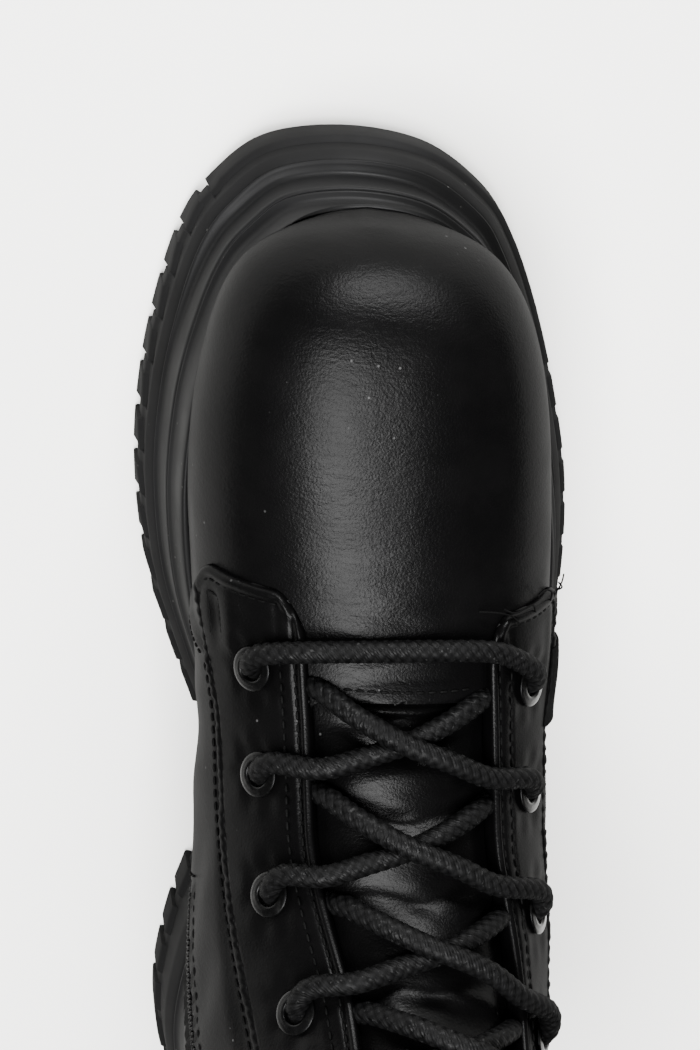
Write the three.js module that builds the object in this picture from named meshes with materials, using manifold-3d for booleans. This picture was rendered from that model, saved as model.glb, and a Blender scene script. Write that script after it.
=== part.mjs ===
// Chunky lace-up platform boot for the right foot, in millimetres, standing on its sole.
// X runs to the medial (big toe) side, the toe points along -Y and Z is up.
// Inside the functions a place is given as x, f and z, where f is the distance forward
// from the back of the heel. The origin is under the middle of the sole, on the ground.
import * as THREE from 'three';
import { mergeVertices } from 'three/addons/utils/BufferGeometryUtils.js';
import Module from 'manifold-3d';

const wasm = await Module();
wasm.setup();

// ---------------------------------------------------------------- driving dimensions
const SOLE_LENGTH = 288;
const SOLE_MIDDLE_X = -3.4;
const FOREFOOT_HEIGHT = 38;
const HEEL_HEIGHT = 58;
const HEEL_SLOPE_FROM = 70;
const HEEL_SLOPE_TO = 185;
const TOE_SPRING = 8;
const TOE_SPRING_FROM = 215;
const ARCH_RISE = 11;
const ARCH_FROM = 86;
const ARCH_TOP_FROM = 94;
const ARCH_TOP_TO = 104;
const ARCH_TO = 142;
const HEEL_BEVEL_LENGTH = 14;
const HEEL_BEVEL_RISE = 2;
const LUG_DEPTH = 5;
const LUG_PITCH = 12;
const LUG_WIDTH = 8.6;
const LUG_REACH = 15;
const LUG_TOP = 11;
const TOE_RIM_FROM = 236;
const BAR_WIDTH = 8;
const BAR_TOP = 6;
const BAR_INSET = 19;
const WALL = 2.2;
const GAP = 0.3;
const FEATHER_INSET = 13;
const INSOLE_THICKNESS = 4;
const INSOLE_INSET = 17;
const FACING_THICKNESS = 1.6;
const TONGUE_THICKNESS = 3.5;
const THROAT_HALF_WIDTH = 21.5;
const THROAT_FRONT = 121.5;
const EYELET_ROWS = 7;
const EYELET_FIRST = 118.5;
const EYELET_PITCH = 24.2;
const EYELET_SIDE = 35.3;
const LACE_RADIUS = 2.5;
const ZIP_SIDE = 79;
const ZIP_FROM = 169;
const ZIP_TO = 266;
const ZIP_STANDOFF = 1.2;
const ZIP_PIVOT_OUT = 6.6;

// Plan outline of the sole at the ground: one row for each station from heel to toe.
const SOLE_OUTLINE = table(['f', 'medial', 'lateral'], [
  [2.4, 15, -14],
  [9.7, 28, -27.5],
  [24, 37, -37],
  [44, 40.5, -41],
  [66, 38, -42],
  [86, 32.5, -44],
  [106, 28.5, -48.5],
  [124, 32, -53.3],
  [149, 42, -58.3],
  [172, 49.5, -60],
  [198, 53, -58.2],
  [222, 52.5, -52.8],
  [244, 49.2, -45.8],
  [262, 44.4, -38],
  [273.5, 37.6, -30],
  [284.2, 25.6, -14.4],
]);
const HEEL_TIP = { x: 0, f: 0.5 };
const TOE_TIP = { x: 6, f: 287.6 };

// Sections of the last from the toe, over the instep and up the shaft to the collar.
// ridgeF, ridgeZ, ridgeX: the top line. keelF and rise: the bottom line, above the feather.
// medial, lateral: the widest points. wide: their share of the height.
// low and dome: how the curve runs under and over the widest point. Over 1, low tucks it in
// above the feather edge, to leave room for the welt's lip.
const LAST = table(
  ['ridgeF', 'ridgeZ', 'keelF', 'rise', 'ridgeX', 'medial', 'lateral', 'wide', 'low', 'dome'], [
    [279.3, 62, 278.6, 13.5, 5, 6, 4, 0.5, 0.6, 2.0],
    [278.6, 69, 277.4, 9, 5, 15.5, -6.5, 0.42, 1.1, 2.0],
    [275.9, 77, 274.7, 5, 4.5, 25.5, -17.5, 0.4, 1.8, 2.1],
    [270.5, 84, 269.3, 1.6, 4, 33.5, -26, 0.4, 2.3, 2.3],
    [262, 90, 261, 0, 3.5, 38.7, -32.3, 0.39, 2.4, 2.4],
    [250, 94, 248.5, 0, 3, 42, -37, 0.385, 2.1, 2.4],
    [233, 97, 232.5, 0, 2, 44, -40.5, 0.38, 1.5, 2.4],
    [212, 100, 212, 0, 0, 44, -42.8, 0.38, 1.1, 2.3],
    [190, 105, 190, 0, -2.5, 42, -44, 0.38, 1, 2.2],
    [166, 114, 162, 0, -4.5, 39.5, -44.3, 0.38, 1.3, 2.1],
    [146, 125, 128, 0, -5.5, 38.5, -44.8, 0.38, 2.1, 2.1],
    [132, 135, 90, 0, -7, 39.5, -46, 0.39, 2.6, 2.1],
    [122, 145, 55, 0, -8.7, 39.5, -46, 0.41, 2.5, 2.1],
    [115, 155, 28, 0, -9.7, 38.5, -46, 0.43, 1.6, 2.1],
    [110, 165, 14.5, 0, -9.7, 37.5, -46.5, 0.46, 0.8, 2.1],
    [106, 176, 9.5, 18, -9, 37, -46.5, 0.47, 0.5, 2.1],
    [103, 188, 8.5, 44, -8, 37, -46.5, 0.48, 0.5, 2.1],
    [101, 200, 11.5, 75, -7, 37.5, -46, 0.49, 0.5, 2.1],
    [100, 212, 14, 108, -6, 38, -46, 0.5, 0.5, 2.1],
    [99.5, 223, 15, 140, -5, 39, -45.5, 0.5, 0.5, 2.1],
    [99, 234, 15, 170, -5, 40, -45.5, 0.5, 0.5, 2.1],
  ]);
const COLLAR = LAST.length - 1;

// Tiers of the sole. level: height on the forefoot. inset: how far in from the ground
// outline along the sides. toeInset: what the toe adds to it.
const OUTSOLE_TIERS = table(['level', 'inset', 'toeInset'], [
  [LUG_DEPTH, 1.2, 0],
  [15, 2.2, 0.2],
  [18, 4.4, 0],
]);
const MIDSOLE_TIERS = table(['level', 'inset', 'toeInset'], [
  [18.3, 4.4, 0],
  [19.5, 5.2, 2.4],
  [30.5, 6.6, 1.9],
  [31.2, 7, 2.6],
]);
const WELT_TIERS = table(['level', 'inset', 'toeInset'], [
  [31.5, 7, 2.6],
  [32.6, 7.7, 2.9],
  [36, 8.2, 2.5],
  [43.4, 9.2, 1.5],
  [44.2, 10, 1],
]);

// ---------------------------------------------------------------- small helpers
function table(names, rows) {
  return rows.map((row) => Object.fromEntries(names.map((name, i) => [name, row[i]])));
}

function clamp01(t) {
  return Math.min(Math.max(t, 0), 1);
}

function smooth(from, to, value) {
  const t = clamp01((value - from) / (to - from));
  return t * t * (3 - 2 * t);
}

function lerp(a, b, t) {
  return a + (b - a) * t;
}

function place(x, f, z) {
  return new THREE.Vector3(x - SOLE_MIDDLE_X, SOLE_LENGTH / 2 - f, z);
}

function catmull(a, b, c, d, t) {
  const square = 2 * a - 5 * b + 4 * c - d;
  const cube = 3 * b - a - 3 * c + d;
  return 0.5 * (2 * b + (c - a) * t + square * t * t + cube * t * t * t);
}

// ---------------------------------------------------------------- heights along the sole
function spring(f) {
  const t = Math.max(f - TOE_SPRING_FROM, 0) / (SOLE_LENGTH - TOE_SPRING_FROM);
  return TOE_SPRING * t * t;
}

function thickness(f) {
  const drop = smooth(HEEL_SLOPE_FROM, HEEL_SLOPE_TO, f);
  return lerp(HEEL_HEIGHT, FOREFOOT_HEIGHT, drop);
}

function levelHeight(f, level) {
  return spring(f) + thickness(f) * level / FOREFOOT_HEIGHT;
}

function featherHeight(f) {
  return levelHeight(f, FOREFOOT_HEIGHT);
}

function groundHeight(f) {
  const arch = smooth(ARCH_FROM, ARCH_TOP_FROM, f) * (1 - smooth(ARCH_TOP_TO, ARCH_TO, f));
  const bevel = Math.max(HEEL_BEVEL_LENGTH - f, 0) / HEEL_BEVEL_LENGTH;
  return spring(f) + ARCH_RISE * arch + HEEL_BEVEL_RISE * bevel * bevel;
}

// ---------------------------------------------------------------- the sole's outlines
function soleOutline(steps) {
  const medial = SOLE_OUTLINE.map((row) => ({ x: row.medial, f: row.f }));
  const lateral = SOLE_OUTLINE.map((row) => ({ x: row.lateral, f: row.f })).reverse();
  const knots = [HEEL_TIP, ...medial, TOE_TIP, ...lateral];
  const count = knots.length;
  const outline = [];
  for (let i = 0; i < count; i += 1) {
    const a = knots[(i + count - 1) % count];
    const b = knots[i];
    const c = knots[(i + 1) % count];
    const d = knots[(i + 2) % count];
    for (let k = 0; k < steps; k += 1) {
      const t = k / steps;
      outline.push({ x: catmull(a.x, b.x, c.x, d.x, t), f: catmull(a.f, b.f, c.f, d.f, t) });
    }
  }
  return outline;
}

function insetOutline(outline, insetAt) {
  const count = outline.length;
  return outline.map((point, i) => {
    const before = outline[(i + count - 1) % count];
    const after = outline[(i + 1) % count];
    const length = Math.hypot(after.x - before.x, after.f - before.f);
    const inset = insetAt(point);
    return {
      x: point.x - (after.f - before.f) / length * inset,
      f: point.f + (after.x - before.x) / length * inset,
    };
  });
}

// The widest x of an outline on each side at one station, for the last's feather edge.
function outlineWidths(outline, f) {
  let medial = 0;
  let lateral = 0;
  outline.forEach((a, i) => {
    const b = outline[(i + 1) % outline.length];
    if ((a.f - f) * (b.f - f) > 0 || a.f === b.f) return;
    const x = lerp(a.x, b.x, (f - a.f) / (b.f - a.f));
    medial = Math.max(medial, x);
    lateral = Math.min(lateral, x);
  });
  return { medial, lateral };
}

const GROUND_OUTLINE = soleOutline(2);
const FEATHER_OUTLINE = insetOutline(soleOutline(6), () => FEATHER_INSET);

// ---------------------------------------------------------------- the last's surface
function lastRow(u) {
  const i = Math.min(Math.max(Math.floor(u), 0), COLLAR - 1);
  const t = u - i;
  const row = {};
  for (const name of Object.keys(LAST[0])) {
    const b = LAST[i][name];
    const c = LAST[i + 1][name];
    const a = i > 0 ? LAST[i - 1][name] : 2 * b - c;
    const d = i + 2 <= COLLAR ? LAST[i + 2][name] : 2 * c - b;
    row[name] = catmull(a, b, c, d, t);
  }
  return row;
}

// One section from the medial keel over the ridge to the lateral keel. v runs from 0 to 1.
function sectionPoint(row, v) {
  const side = v <= 0.5 ? 'medial' : 'lateral';
  const keelZ = featherHeight(row.keelF) + Math.max(row.rise, 0);
  const heelUp = row.keelF < 60 ? clamp01(Math.max(row.rise, 0) / 12) : 0;
  const wide = Math.min(Math.max(row.wide, 0.2), 0.6);
  const low = Math.min(Math.max(row.low, 0.45), 2.6);
  const widest = row[side];
  const feather = row[side + 'Feather'] * (1 - heelUp);
  const keelX = side === 'medial' ? Math.min(feather, widest) : Math.max(feather, widest);
  const climb = 1 - Math.abs(2 * v - 1);
  const bend = 0.4;
  let height;
  let x;
  if (climb <= bend) {
    height = wide * (1 - Math.cos(climb / bend * Math.PI / 2));
    x = lerp(keelX, widest, Math.sin(Math.PI / 2 * Math.pow(height / wide, low)));
  } else {
    const turn = Math.sin((climb - bend) / (1 - bend) * Math.PI / 2);
    height = lerp(wide, 1, turn);
    x = lerp(row.ridgeX, widest, Math.pow(1 - Math.pow(turn, row.dome), 1 / row.dome));
  }
  return place(x, lerp(row.keelF, row.ridgeF, height), lerp(keelZ, row.ridgeZ, height));
}

function fullRow(u) {
  const row = lastRow(u);
  const feather = outlineWidths(FEATHER_OUTLINE, row.keelF);
  row.medialFeather = Math.max(feather.medial, 0.4);
  row.lateralFeather = Math.min(feather.lateral, -0.4);
  return row;
}

const SECTION_STEPS = 96;
const sections = new Map();

function section(u) {
  const key = u.toFixed(4);
  if (!sections.has(key)) {
    const row = fullRow(u);
    const points = [];
    for (let i = 0; i <= SECTION_STEPS; i += 1) points.push(sectionPoint(row, i / SECTION_STEPS));
    sections.set(key, points);
  }
  return sections.get(key);
}

function pointOnSection(u, v) {
  const points = section(u);
  const at = Math.min(Math.max(v * SECTION_STEPS, 0), SECTION_STEPS);
  const i = Math.min(Math.floor(at), SECTION_STEPS - 1);
  return points[i].clone().lerp(points[i + 1], at - i);
}

// The share v of a point that lies a millimetres from the ridge, medial side positive.
function shareOfArc(u, a) {
  const points = section(u);
  const step = a > 0 ? -1 : 1;
  let left = Math.abs(a);
  let i = SECTION_STEPS / 2;
  while (i + step >= 0 && i + step <= SECTION_STEPS) {
    const length = points[i].distanceTo(points[i + step]);
    if (length >= left) return (i + step * left / length) / SECTION_STEPS;
    left -= length;
    i += step;
  }
  return i / SECTION_STEPS;
}

function outwardNormal(u, v) {
  const du = 0.04;
  const dv = 0.01;
  const along = pointOnSection(Math.min(u + du, COLLAR), v).sub(pointOnSection(Math.max(u - du, 0), v));
  const across = pointOnSection(u, Math.min(v + dv, 1)).sub(pointOnSection(u, Math.max(v - dv, 0)));
  return along.cross(across).normalize();
}

function lastPoint(u, v, offset) {
  const toeCap = 0.5;
  const normal = outwardNormal(Math.max(u, toeCap), v);
  if (u < toeCap) normal.lerp(new THREE.Vector3(0, -1, 0), 1 - u / toeCap).normalize();
  return pointOnSection(u, v).addScaledVector(normal, offset);
}

// Distances along the ridge, from the toe, turned into row numbers and back.
const RIDGE_STEPS = 400;
const ridgeLengths = [0];
for (let i = 1; i <= RIDGE_STEPS; i += 1) {
  const here = pointOnSection(i / RIDGE_STEPS * COLLAR, 0.5);
  const before = pointOnSection((i - 1) / RIDGE_STEPS * COLLAR, 0.5);
  ridgeLengths.push(ridgeLengths[i - 1] + here.distanceTo(before));
}

function rowAt(r) {
  let i = 0;
  while (i < RIDGE_STEPS - 1 && ridgeLengths[i + 1] < r) i += 1;
  const t = (r - ridgeLengths[i]) / (ridgeLengths[i + 1] - ridgeLengths[i]);
  return Math.min((i + t) / RIDGE_STEPS * COLLAR, COLLAR);
}

const RIDGE_LENGTH = ridgeLengths[RIDGE_STEPS];

// The point r along the ridge, a around the section and offset out from the leather.
function bootPoint(r, a, offset) {
  const u = rowAt(r);
  return lastPoint(u, shareOfArc(u, a), offset);
}

// The middle of the throat drifts to the lateral side as it climbs the instep.
function throatMiddle(r) {
  return -5 * smooth(150, 192, r);
}

// ---------------------------------------------------------------- solids
function solid(geometry) {
  const bare = new THREE.BufferGeometry();
  bare.setAttribute('position', geometry.getAttribute('position'));
  bare.setIndex(geometry.getIndex());
  const merged = mergeVertices(bare, 1e-4);
  const index = merged.getIndex().array;
  const triangles = [];
  for (let i = 0; i < index.length; i += 3) {
    const [a, b, c] = [index[i], index[i + 1], index[i + 2]];
    if (a !== b && b !== c && c !== a) triangles.push(a, b, c);
  }
  return new wasm.Manifold(new wasm.Mesh({
    numProp: 3,
    vertProperties: new Float32Array(merged.getAttribute('position').array),
    triVerts: new Uint32Array(triangles),
  }));
}

// A closed body through rings of equal count. Both ends are closed by zigzag strips.
function loft(rings) {
  const count = rings[0].length;
  const positions = rings.flat().flatMap((point) => [point.x, point.y, point.z]);
  const triangles = [];
  for (let i = 0; i + 1 < rings.length; i += 1) {
    for (let k = 0; k < count; k += 1) {
      const next = (k + 1) % count;
      const [a, b] = [i * count + k, i * count + next];
      triangles.push(a, b, b + count, a, b + count, a + count);
    }
  }
  const last = (rings.length - 1) * count;
  let [lo, hi] = [0, count - 1];
  while (hi - lo > 1) {
    triangles.push(lo, hi, lo + 1);
    triangles.push(last + lo, last + lo + 1, last + hi);
    lo += 1;
    if (hi - lo > 1) {
      triangles.push(lo, hi, hi - 1);
      triangles.push(last + lo, last + hi - 1, last + hi);
      hi -= 1;
    }
  }
  const geometry = new THREE.BufferGeometry();
  geometry.setAttribute('position', new THREE.Float32BufferAttribute(positions, 3));
  geometry.setIndex(volumeOf(positions, triangles) < 0 ? triangles.slice().reverse() : triangles);
  return geometry;
}

function volumeOf(positions, triangles) {
  const corner = (i) => new THREE.Vector3().fromArray(positions, triangles[i] * 3);
  let volume = 0;
  for (let i = 0; i < triangles.length; i += 3) {
    volume += corner(i).dot(corner(i + 1).cross(corner(i + 2)));
  }
  return volume;
}

function range(from, to, steps) {
  return Array.from({ length: steps + 1 }, (_, i) => lerp(from, to, i / steps));
}

const FORM_SHARES = range(0, 1, 20);
const FORM_ROWS = [0, 0.35, 0.8, 1.4, 2, 2.7, 3.5, 4.5, 5.7, 7, 7.8, 8.5, 9.1, 9.7, 10.3, 11, 11.7, 12.4,
  13.2, 14, 14.6, 15.3, 16.8, COLLAR];

// The last's closed form, grown or shrunk by offset. drop lowers its underside, and
// extra lengthens it past the collar.
function lastForm(offset, drop, extra) {
  const rings = FORM_ROWS.map((u) => {
    const ring = FORM_SHARES.map((v) => lastPoint(u, v, offset));
    const open = drop * (1 - smooth(14, 14.6, u)) * smooth(2.4, 3.6, u);
    ring[0].z -= open;
    ring[ring.length - 1].z -= open;
    return ring;
  });
  if (extra > 0) {
    rings.push(rings[rings.length - 1].map((point) => point.clone().setZ(point.z + extra)));
  }
  return solid(loft(rings));
}

// A body that covers part of the last: map gives r and a, depths the two offsets.
function patch(alongShares, acrossSteps, map, depths) {
  const across = range(0, 1, acrossSteps);
  const rings = alongShares.map((s) => {
    const outer = across.map((t) => bootPoint(...map(s, t), depths(s, t)[1]));
    const inner = across.map((t) => bootPoint(...map(s, t), depths(s, t)[0])).reverse();
    return [...outer, ...inner];
  });
  return solid(loft(rings));
}

function tierRings(tiers, outline) {
  return tiers.map((tier) => {
    const inset = (point) => tier.inset + tier.toeInset * smooth(225, 285, point.f);
    return insetOutline(outline, inset).map(({ x, f }) => place(x, f, levelHeight(f, tier.level)));
  });
}

// ---------------------------------------------------------------- sole
function lugBlock(middle, outward, width, depth, top) {
  const side = { x: -outward.f, f: outward.x };
  const corners = [[0, -0.5], [0, 0.5], [-1, 0.42], [-1, -0.42]].map(([back, across]) => ({
    x: middle.x + outward.x * back * depth + side.x * across * width,
    f: middle.f + outward.f * back * depth + side.f * across * width,
  }));
  const rings = [0, top].map((height) => corners.map(({ x, f }) => {
    const base = groundHeight(f);
    return place(x, f, base + height);
  }));
  return solid(loft(rings));
}

// Lugs round the edge, none in the arch. Past TOE_RIM_FROM they join into one rim.
function edgeLugs() {
  const outline = insetOutline(soleOutline(8), () => 0.1);
  const blocks = [];
  let travelled = 0;
  let due = LUG_PITCH / 2;
  outline.forEach((a, i) => {
    const b = outline[(i + 1) % outline.length];
    travelled += Math.hypot(b.x - a.x, b.f - a.f);
    if (travelled < due) return;
    due += LUG_PITCH;
    if (a.f > ARCH_FROM - 1 && a.f < ARCH_TO - 10) return;
    const length = Math.hypot(b.x - a.x, b.f - a.f);
    const outward = { x: (b.f - a.f) / length, f: -(b.x - a.x) / length };
    const width = a.f > TOE_RIM_FROM ? LUG_PITCH + 1.5 : LUG_WIDTH;
    blocks.push(lugBlock(a, outward, width, LUG_REACH, LUG_TOP));
  });
  return blocks;
}

// Bars across the middle of the tread, between the edge lugs.
function treadBars() {
  const rows = [20, 36, 52, 68, 152, 168, 184, 200, 216, 232, 248, 262];
  const forward = { x: 0, f: 1 };
  return rows.flatMap((f) => {
    const edge = outlineWidths(insetOutline(GROUND_OUTLINE, () => BAR_INSET), f);
    const span = edge.medial - edge.lateral;
    if (span < 2 * BAR_WIDTH) return [];
    const middle = { x: (edge.medial + edge.lateral) / 2, f: f + BAR_WIDTH / 2 };
    return [lugBlock(middle, forward, span, BAR_WIDTH, BAR_TOP)];
  });
}

function makeOutsole() {
  const plate = tierRings(OUTSOLE_TIERS, GROUND_OUTLINE);
  plate[0] = insetOutline(GROUND_OUTLINE, () => OUTSOLE_TIERS[0].inset).map(({ x, f }) => (
    place(x, f, groundHeight(f) + LUG_DEPTH)));
  let body = solid(loft(plate));
  for (const block of [...edgeLugs(), ...treadBars()]) body = body.add(block);
  return body;
}

function makeMidsole() {
  return solid(loft(tierRings(MIDSOLE_TIERS, GROUND_OUTLINE)));
}

function makeWelt() {
  const tray = solid(loft(tierRings(WELT_TIERS, GROUND_OUTLINE)));
  return tray.subtract(lastForm(GAP, 1.5 * GAP, 20));
}

function makeInsole() {
  const outline = insetOutline(GROUND_OUTLINE, () => INSOLE_INSET);
  const slab = [GAP, INSOLE_THICKNESS].map((height) => (
    outline.map(({ x, f }) => place(x, f, featherHeight(f) + height))));
  return solid(loft(slab)).intersect(lastForm(-WALL - 2 * GAP, 0, 0));
}

// ---------------------------------------------------------------- upper
const EYELETS = [];
for (const side of [1, -1]) {
  for (let i = 0; i < EYELET_ROWS; i += 1) {
    const r = EYELET_FIRST + EYELET_PITCH * i + (side > 0 ? 0 : 3.5);
    EYELETS.push({
      name: `eyelet_${side > 0 ? 'medial' : 'lateral'}_${i + 1}`,
      r,
      a: throatMiddle(r) + side * EYELET_SIDE,
    });
  }
}

function standOn(geometry, r, a, offset) {
  const normal = bootPoint(r, a, 1).sub(bootPoint(r, a, 0)).normalize();
  const turn = new THREE.Quaternion().setFromUnitVectors(new THREE.Vector3(0, 1, 0), normal);
  const centre = bootPoint(r, a, offset);
  return geometry.applyQuaternion(turn).translate(centre.x, centre.y, centre.z);
}

function drillEyelets(body, side) {
  let drilled = body;
  for (const { r, a } of EYELETS.filter((eyelet) => eyelet.a * side > 0)) {
    drilled = drilled.subtract(solid(standOn(new THREE.CylinderGeometry(3.9, 3.9, 16, 6), r, a, 0)));
  }
  return drilled;
}

function makeThroatCut() {
  const shares = [0, 0.004, 0.015, 0.035, 0.07, ...range(0.13, 1, 12)];
  const map = (s, t) => {
    const r = lerp(THROAT_FRONT, RIDGE_LENGTH, s);
    const turn = clamp01((r - THROAT_FRONT) / 10);
    const half = (THROAT_HALF_WIDTH + 1.5) * Math.pow(1 - Math.pow(1 - turn, 4), 0.25) + 0.3;
    return [r, throatMiddle(r) + half * (1 - 2 * t)];
  };
  const trench = patch(shares, 6, map, () => [-9, 8]);
  const above = patch(shares.slice(-2), 6, map, () => [-9, 8]);
  return trench.add(above.translate([0, 0, 6]));
}

function makeUpper() {
  const shell = lastForm(0, 0, 0).subtract(lastForm(-WALL, 16, 20));
  const open = shell.subtract(makeThroatCut());
  return drillEyelets(drillEyelets(open, 1), -1);
}

// The lacing panels: their inner edge follows the throat, their outer edge the side seam.
function facingMap(side) {
  const front = side > 0 ? 98 : 103;
  const seam = side > 0 ? 49 : 45;
  return (s, t) => {
    const corner = 9 * Math.pow(1 - clamp01(t / 0.22), 2.2) + 6 * Math.pow(clamp01((t - 0.75) / 0.25), 2);
    const r = lerp(front + corner, RIDGE_LENGTH - 1.5, s);
    const flare = (side > 0 ? 6 : 11) * (1 - smooth(106, 137, r));
    const a = throatMiddle(r) + side * lerp(THROAT_HALF_WIDTH, seam + flare, t);
    return [r, a];
  };
}

function makeFacing(side) {
  const shares = [0, 0.05, 0.11, 0.18, ...range(0.26, 1, 6)];
  const region = patch(shares, 3, facingMap(side), () => [-5, 8]);
  const layer = lastForm(GAP + FACING_THICKNESS, 0, 0).subtract(lastForm(GAP, 0, 20));
  return drillEyelets(layer.intersect(region), side);
}

function makeTongue() {
  const under = -WALL - 2 * GAP - 0.4;
  const map = (s, t) => {
    const r = lerp(THROAT_FRONT - 8, RIDGE_LENGTH - 0.5, s);
    return [r, throatMiddle(r) + 31 * (1 - 2 * t)];
  };
  const depths = (s, t) => {
    const fromEdge = smooth(0.2, 0.5, t) * (1 - smooth(0.5, 0.8, t)) * 4;
    const clear = smooth(0.1, 0.2, s);
    const top = under + 1.5 * Math.min(fromEdge, 1) * clear;
    return [top - TONGUE_THICKNESS, top];
  };
  const shares = range(0, 1, 11);
  const body = patch(shares, 6, map, depths);
  const tip = patch(shares.slice(-2), 6, map, depths);
  return body.add(tip.translate([0, 1.5, 9]));
}

function makeEyelet({ r, a }) {
  const top = GAP + FACING_THICKNESS + GAP;
  const profile = [
    [2.75, -4.6], [3.3, -4.6], [3.3, 0], [5.25, 0], [5.1, 0.8], [2.75, 1], [2.75, -4.6],
  ].map(([x, y]) => new THREE.Vector2(x, y));
  return solid(standOn(new THREE.LatheGeometry(profile, 8), r, a, top));
}

// ---------------------------------------------------------------- laces
function cord(points, sides) {
  const curve = new THREE.CatmullRomCurve3(points);
  const corners = range(0, 2 * Math.PI, sides).slice(0, sides);
  const round = new THREE.Shape(corners.map((angle) => (
    new THREE.Vector2(Math.cos(angle) * LACE_RADIUS, Math.sin(angle) * LACE_RADIUS))));
  const options = { steps: 6, bevelEnabled: false, extrudePath: curve };
  return solid(new THREE.ExtrudeGeometry(round, options));
}

const LACE_OVER_FACING = GAP + FACING_THICKNESS + GAP + LACE_RADIUS + 0.2;
const LACE_OVER_TONGUE = 3.3;
const LACE_END = 28;

function makeLaceBar() {
  const points = range(-1, 1, 8).map((t) => {
    const r = 109 + 7 * t * t + 1.2 * (1 - t) / 2;
    return bootPoint(r, LACE_END * t, LACE_OVER_FACING);
  });
  return cord(points, 6);
}

// Two strands from under one facing to the eyelet of the next row on the other side.
function makeLaceCrossing(i) {
  const strands = [1, -1].map((side) => {
    const start = EYELET_FIRST + EYELET_PITCH * i + (side > 0 ? 1 : 3.5);
    const end = start + EYELET_PITCH * 0.88;
    const points = range(0, 1, 6).map((t) => {
      const r = lerp(start, end, t);
      const a = throatMiddle(r) + side * lerp(THROAT_HALF_WIDTH - 4, -LACE_END, t);
      const height = lerp(LACE_OVER_TONGUE, LACE_OVER_FACING, smooth(0.2, 0.75, t));
      return bootPoint(r, a, height);
    });
    return cord(points, 6);
  });
  return strands[0].add(strands[1]);
}

// ---------------------------------------------------------------- zip and side tab
function makeZipChain() {
  const map = (s, t) => [lerp(ZIP_FROM, RIDGE_LENGTH - 2, s), ZIP_SIDE + lerp(-3, 3, t)];
  return patch(range(0, 1, 12), 2, map, () => [ZIP_STANDOFF, ZIP_STANDOFF + 1]);
}

function makeSideTab() {
  const map = (s, t) => [lerp(119, 135, s), -lerp(51, 61, t) + 6 * s];
  return patch(range(0, 1, 3), 2, map, () => [2.3, 3.5]);
}

// The slider's own axes: along the zip, across it and out from the leather.
function zipFrame() {
  const centre = bootPoint(ZIP_TO, ZIP_SIDE, 0);
  const up = bootPoint(ZIP_TO + 6, ZIP_SIDE, 0).sub(bootPoint(ZIP_TO - 6, ZIP_SIDE, 0)).normalize();
  const out = bootPoint(ZIP_TO, ZIP_SIDE, 1).sub(centre).normalize();
  const across = new THREE.Vector3().crossVectors(up, out).normalize();
  out.crossVectors(across, up);
  return new THREE.Matrix4().makeBasis(across, up, out).setPosition(centre);
}

function block(width, height, depth, x, y, z) {
  return solid(new THREE.BoxGeometry(width, height, depth).translate(x, y, z));
}

function barAcross(radius, length, y, z) {
  const bar = new THREE.CylinderGeometry(radius, radius, length, 10);
  return solid(bar.rotateZ(Math.PI / 2).translate(0, y, z));
}

function makeZipSlider() {
  const base = block(8.4, 10, 2, 0, 0, 3.4);
  const ears = [-3.1, 3.1].map((x) => block(1.2, 3.4, 4.4, x, 0, 5.9));
  return base.add(ears[0]).add(ears[1]).add(barAcross(0.8, 6.4, 0, ZIP_PIVOT_OUT));
}

function makeZipPull() {
  const eye = barAcross(2, 4, 0, ZIP_PIVOT_OUT);
  const leaf = block(4, 21, 1.4, 0, -11.5, ZIP_PIVOT_OUT + 0.6);
  const grip = block(7, 12, 1.4, 0, -17, ZIP_PIVOT_OUT + 0.6);
  return eye.add(leaf).add(grip).subtract(barAcross(1.15, 5, 0, ZIP_PIVOT_OUT));
}

function inZipFrame(body) {
  return body.transform(zipFrame().toArray());
}

// ---------------------------------------------------------------- materials and assembly
function finish(color, roughness, metalness = 0) {
  return new THREE.MeshStandardMaterial({ color, roughness, metalness });
}

const outsoleRubber = finish(0x1b1b1c, 0.85);
const soleRubber = finish(0x202122, 0.6);
const leather = finish(0x121213, 0.38);
const lining = finish(0x1c1c1c, 0.9);
const laceCotton = finish(0x0f0f10, 0.6);
const blackMetal = finish(0x1d1d1e, 0.4, 0.6);
const tape = finish(0x161616, 0.8);

const boot = new THREE.Group();

function addPiece(name, body, material) {
  const { vertProperties, triVerts } = body.getMesh();
  const geometry = new THREE.BufferGeometry();
  geometry.setAttribute('position', new THREE.Float32BufferAttribute(vertProperties, 3));
  geometry.setIndex(new THREE.Uint32BufferAttribute(triVerts, 1));
  geometry.computeVertexNormals();
  const mesh = new THREE.Mesh(geometry, material);
  mesh.name = name;
  boot.add(mesh);
}

addPiece('outsole', makeOutsole(), outsoleRubber);
addPiece('midsole', makeMidsole(), soleRubber);
addPiece('welt', makeWelt(), soleRubber);
addPiece('insole', makeInsole(), lining);
addPiece('upper', makeUpper(), leather);
addPiece('tongue', makeTongue(), leather);
addPiece('facing_medial', makeFacing(1), leather);
addPiece('facing_lateral', makeFacing(-1), leather);
for (const eyelet of EYELETS) addPiece(eyelet.name, makeEyelet(eyelet), blackMetal);
addPiece('lace_bar_1', makeLaceBar(), laceCotton);
for (let i = 0; i < EYELET_ROWS - 1; i += 1) {
  addPiece(`lace_cross_${i + 1}`, makeLaceCrossing(i), laceCotton);
}
addPiece('side_tab', makeSideTab(), tape);
addPiece('zip_chain', makeZipChain(), tape);
addPiece('zip_slider', inZipFrame(makeZipSlider()), blackMetal);
addPiece('zip_pull', inZipFrame(makeZipPull()), blackMetal);

export default boot;
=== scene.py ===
"""Looks of a chunky black lace-up platform boot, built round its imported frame.

Shapes are worked out in millimetres on the boot's own surface. r runs along the ridge
from the toe, a runs round the section (medial side positive) and d stands out from the
leather. Meshes are written in metres.
"""
import math

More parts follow.
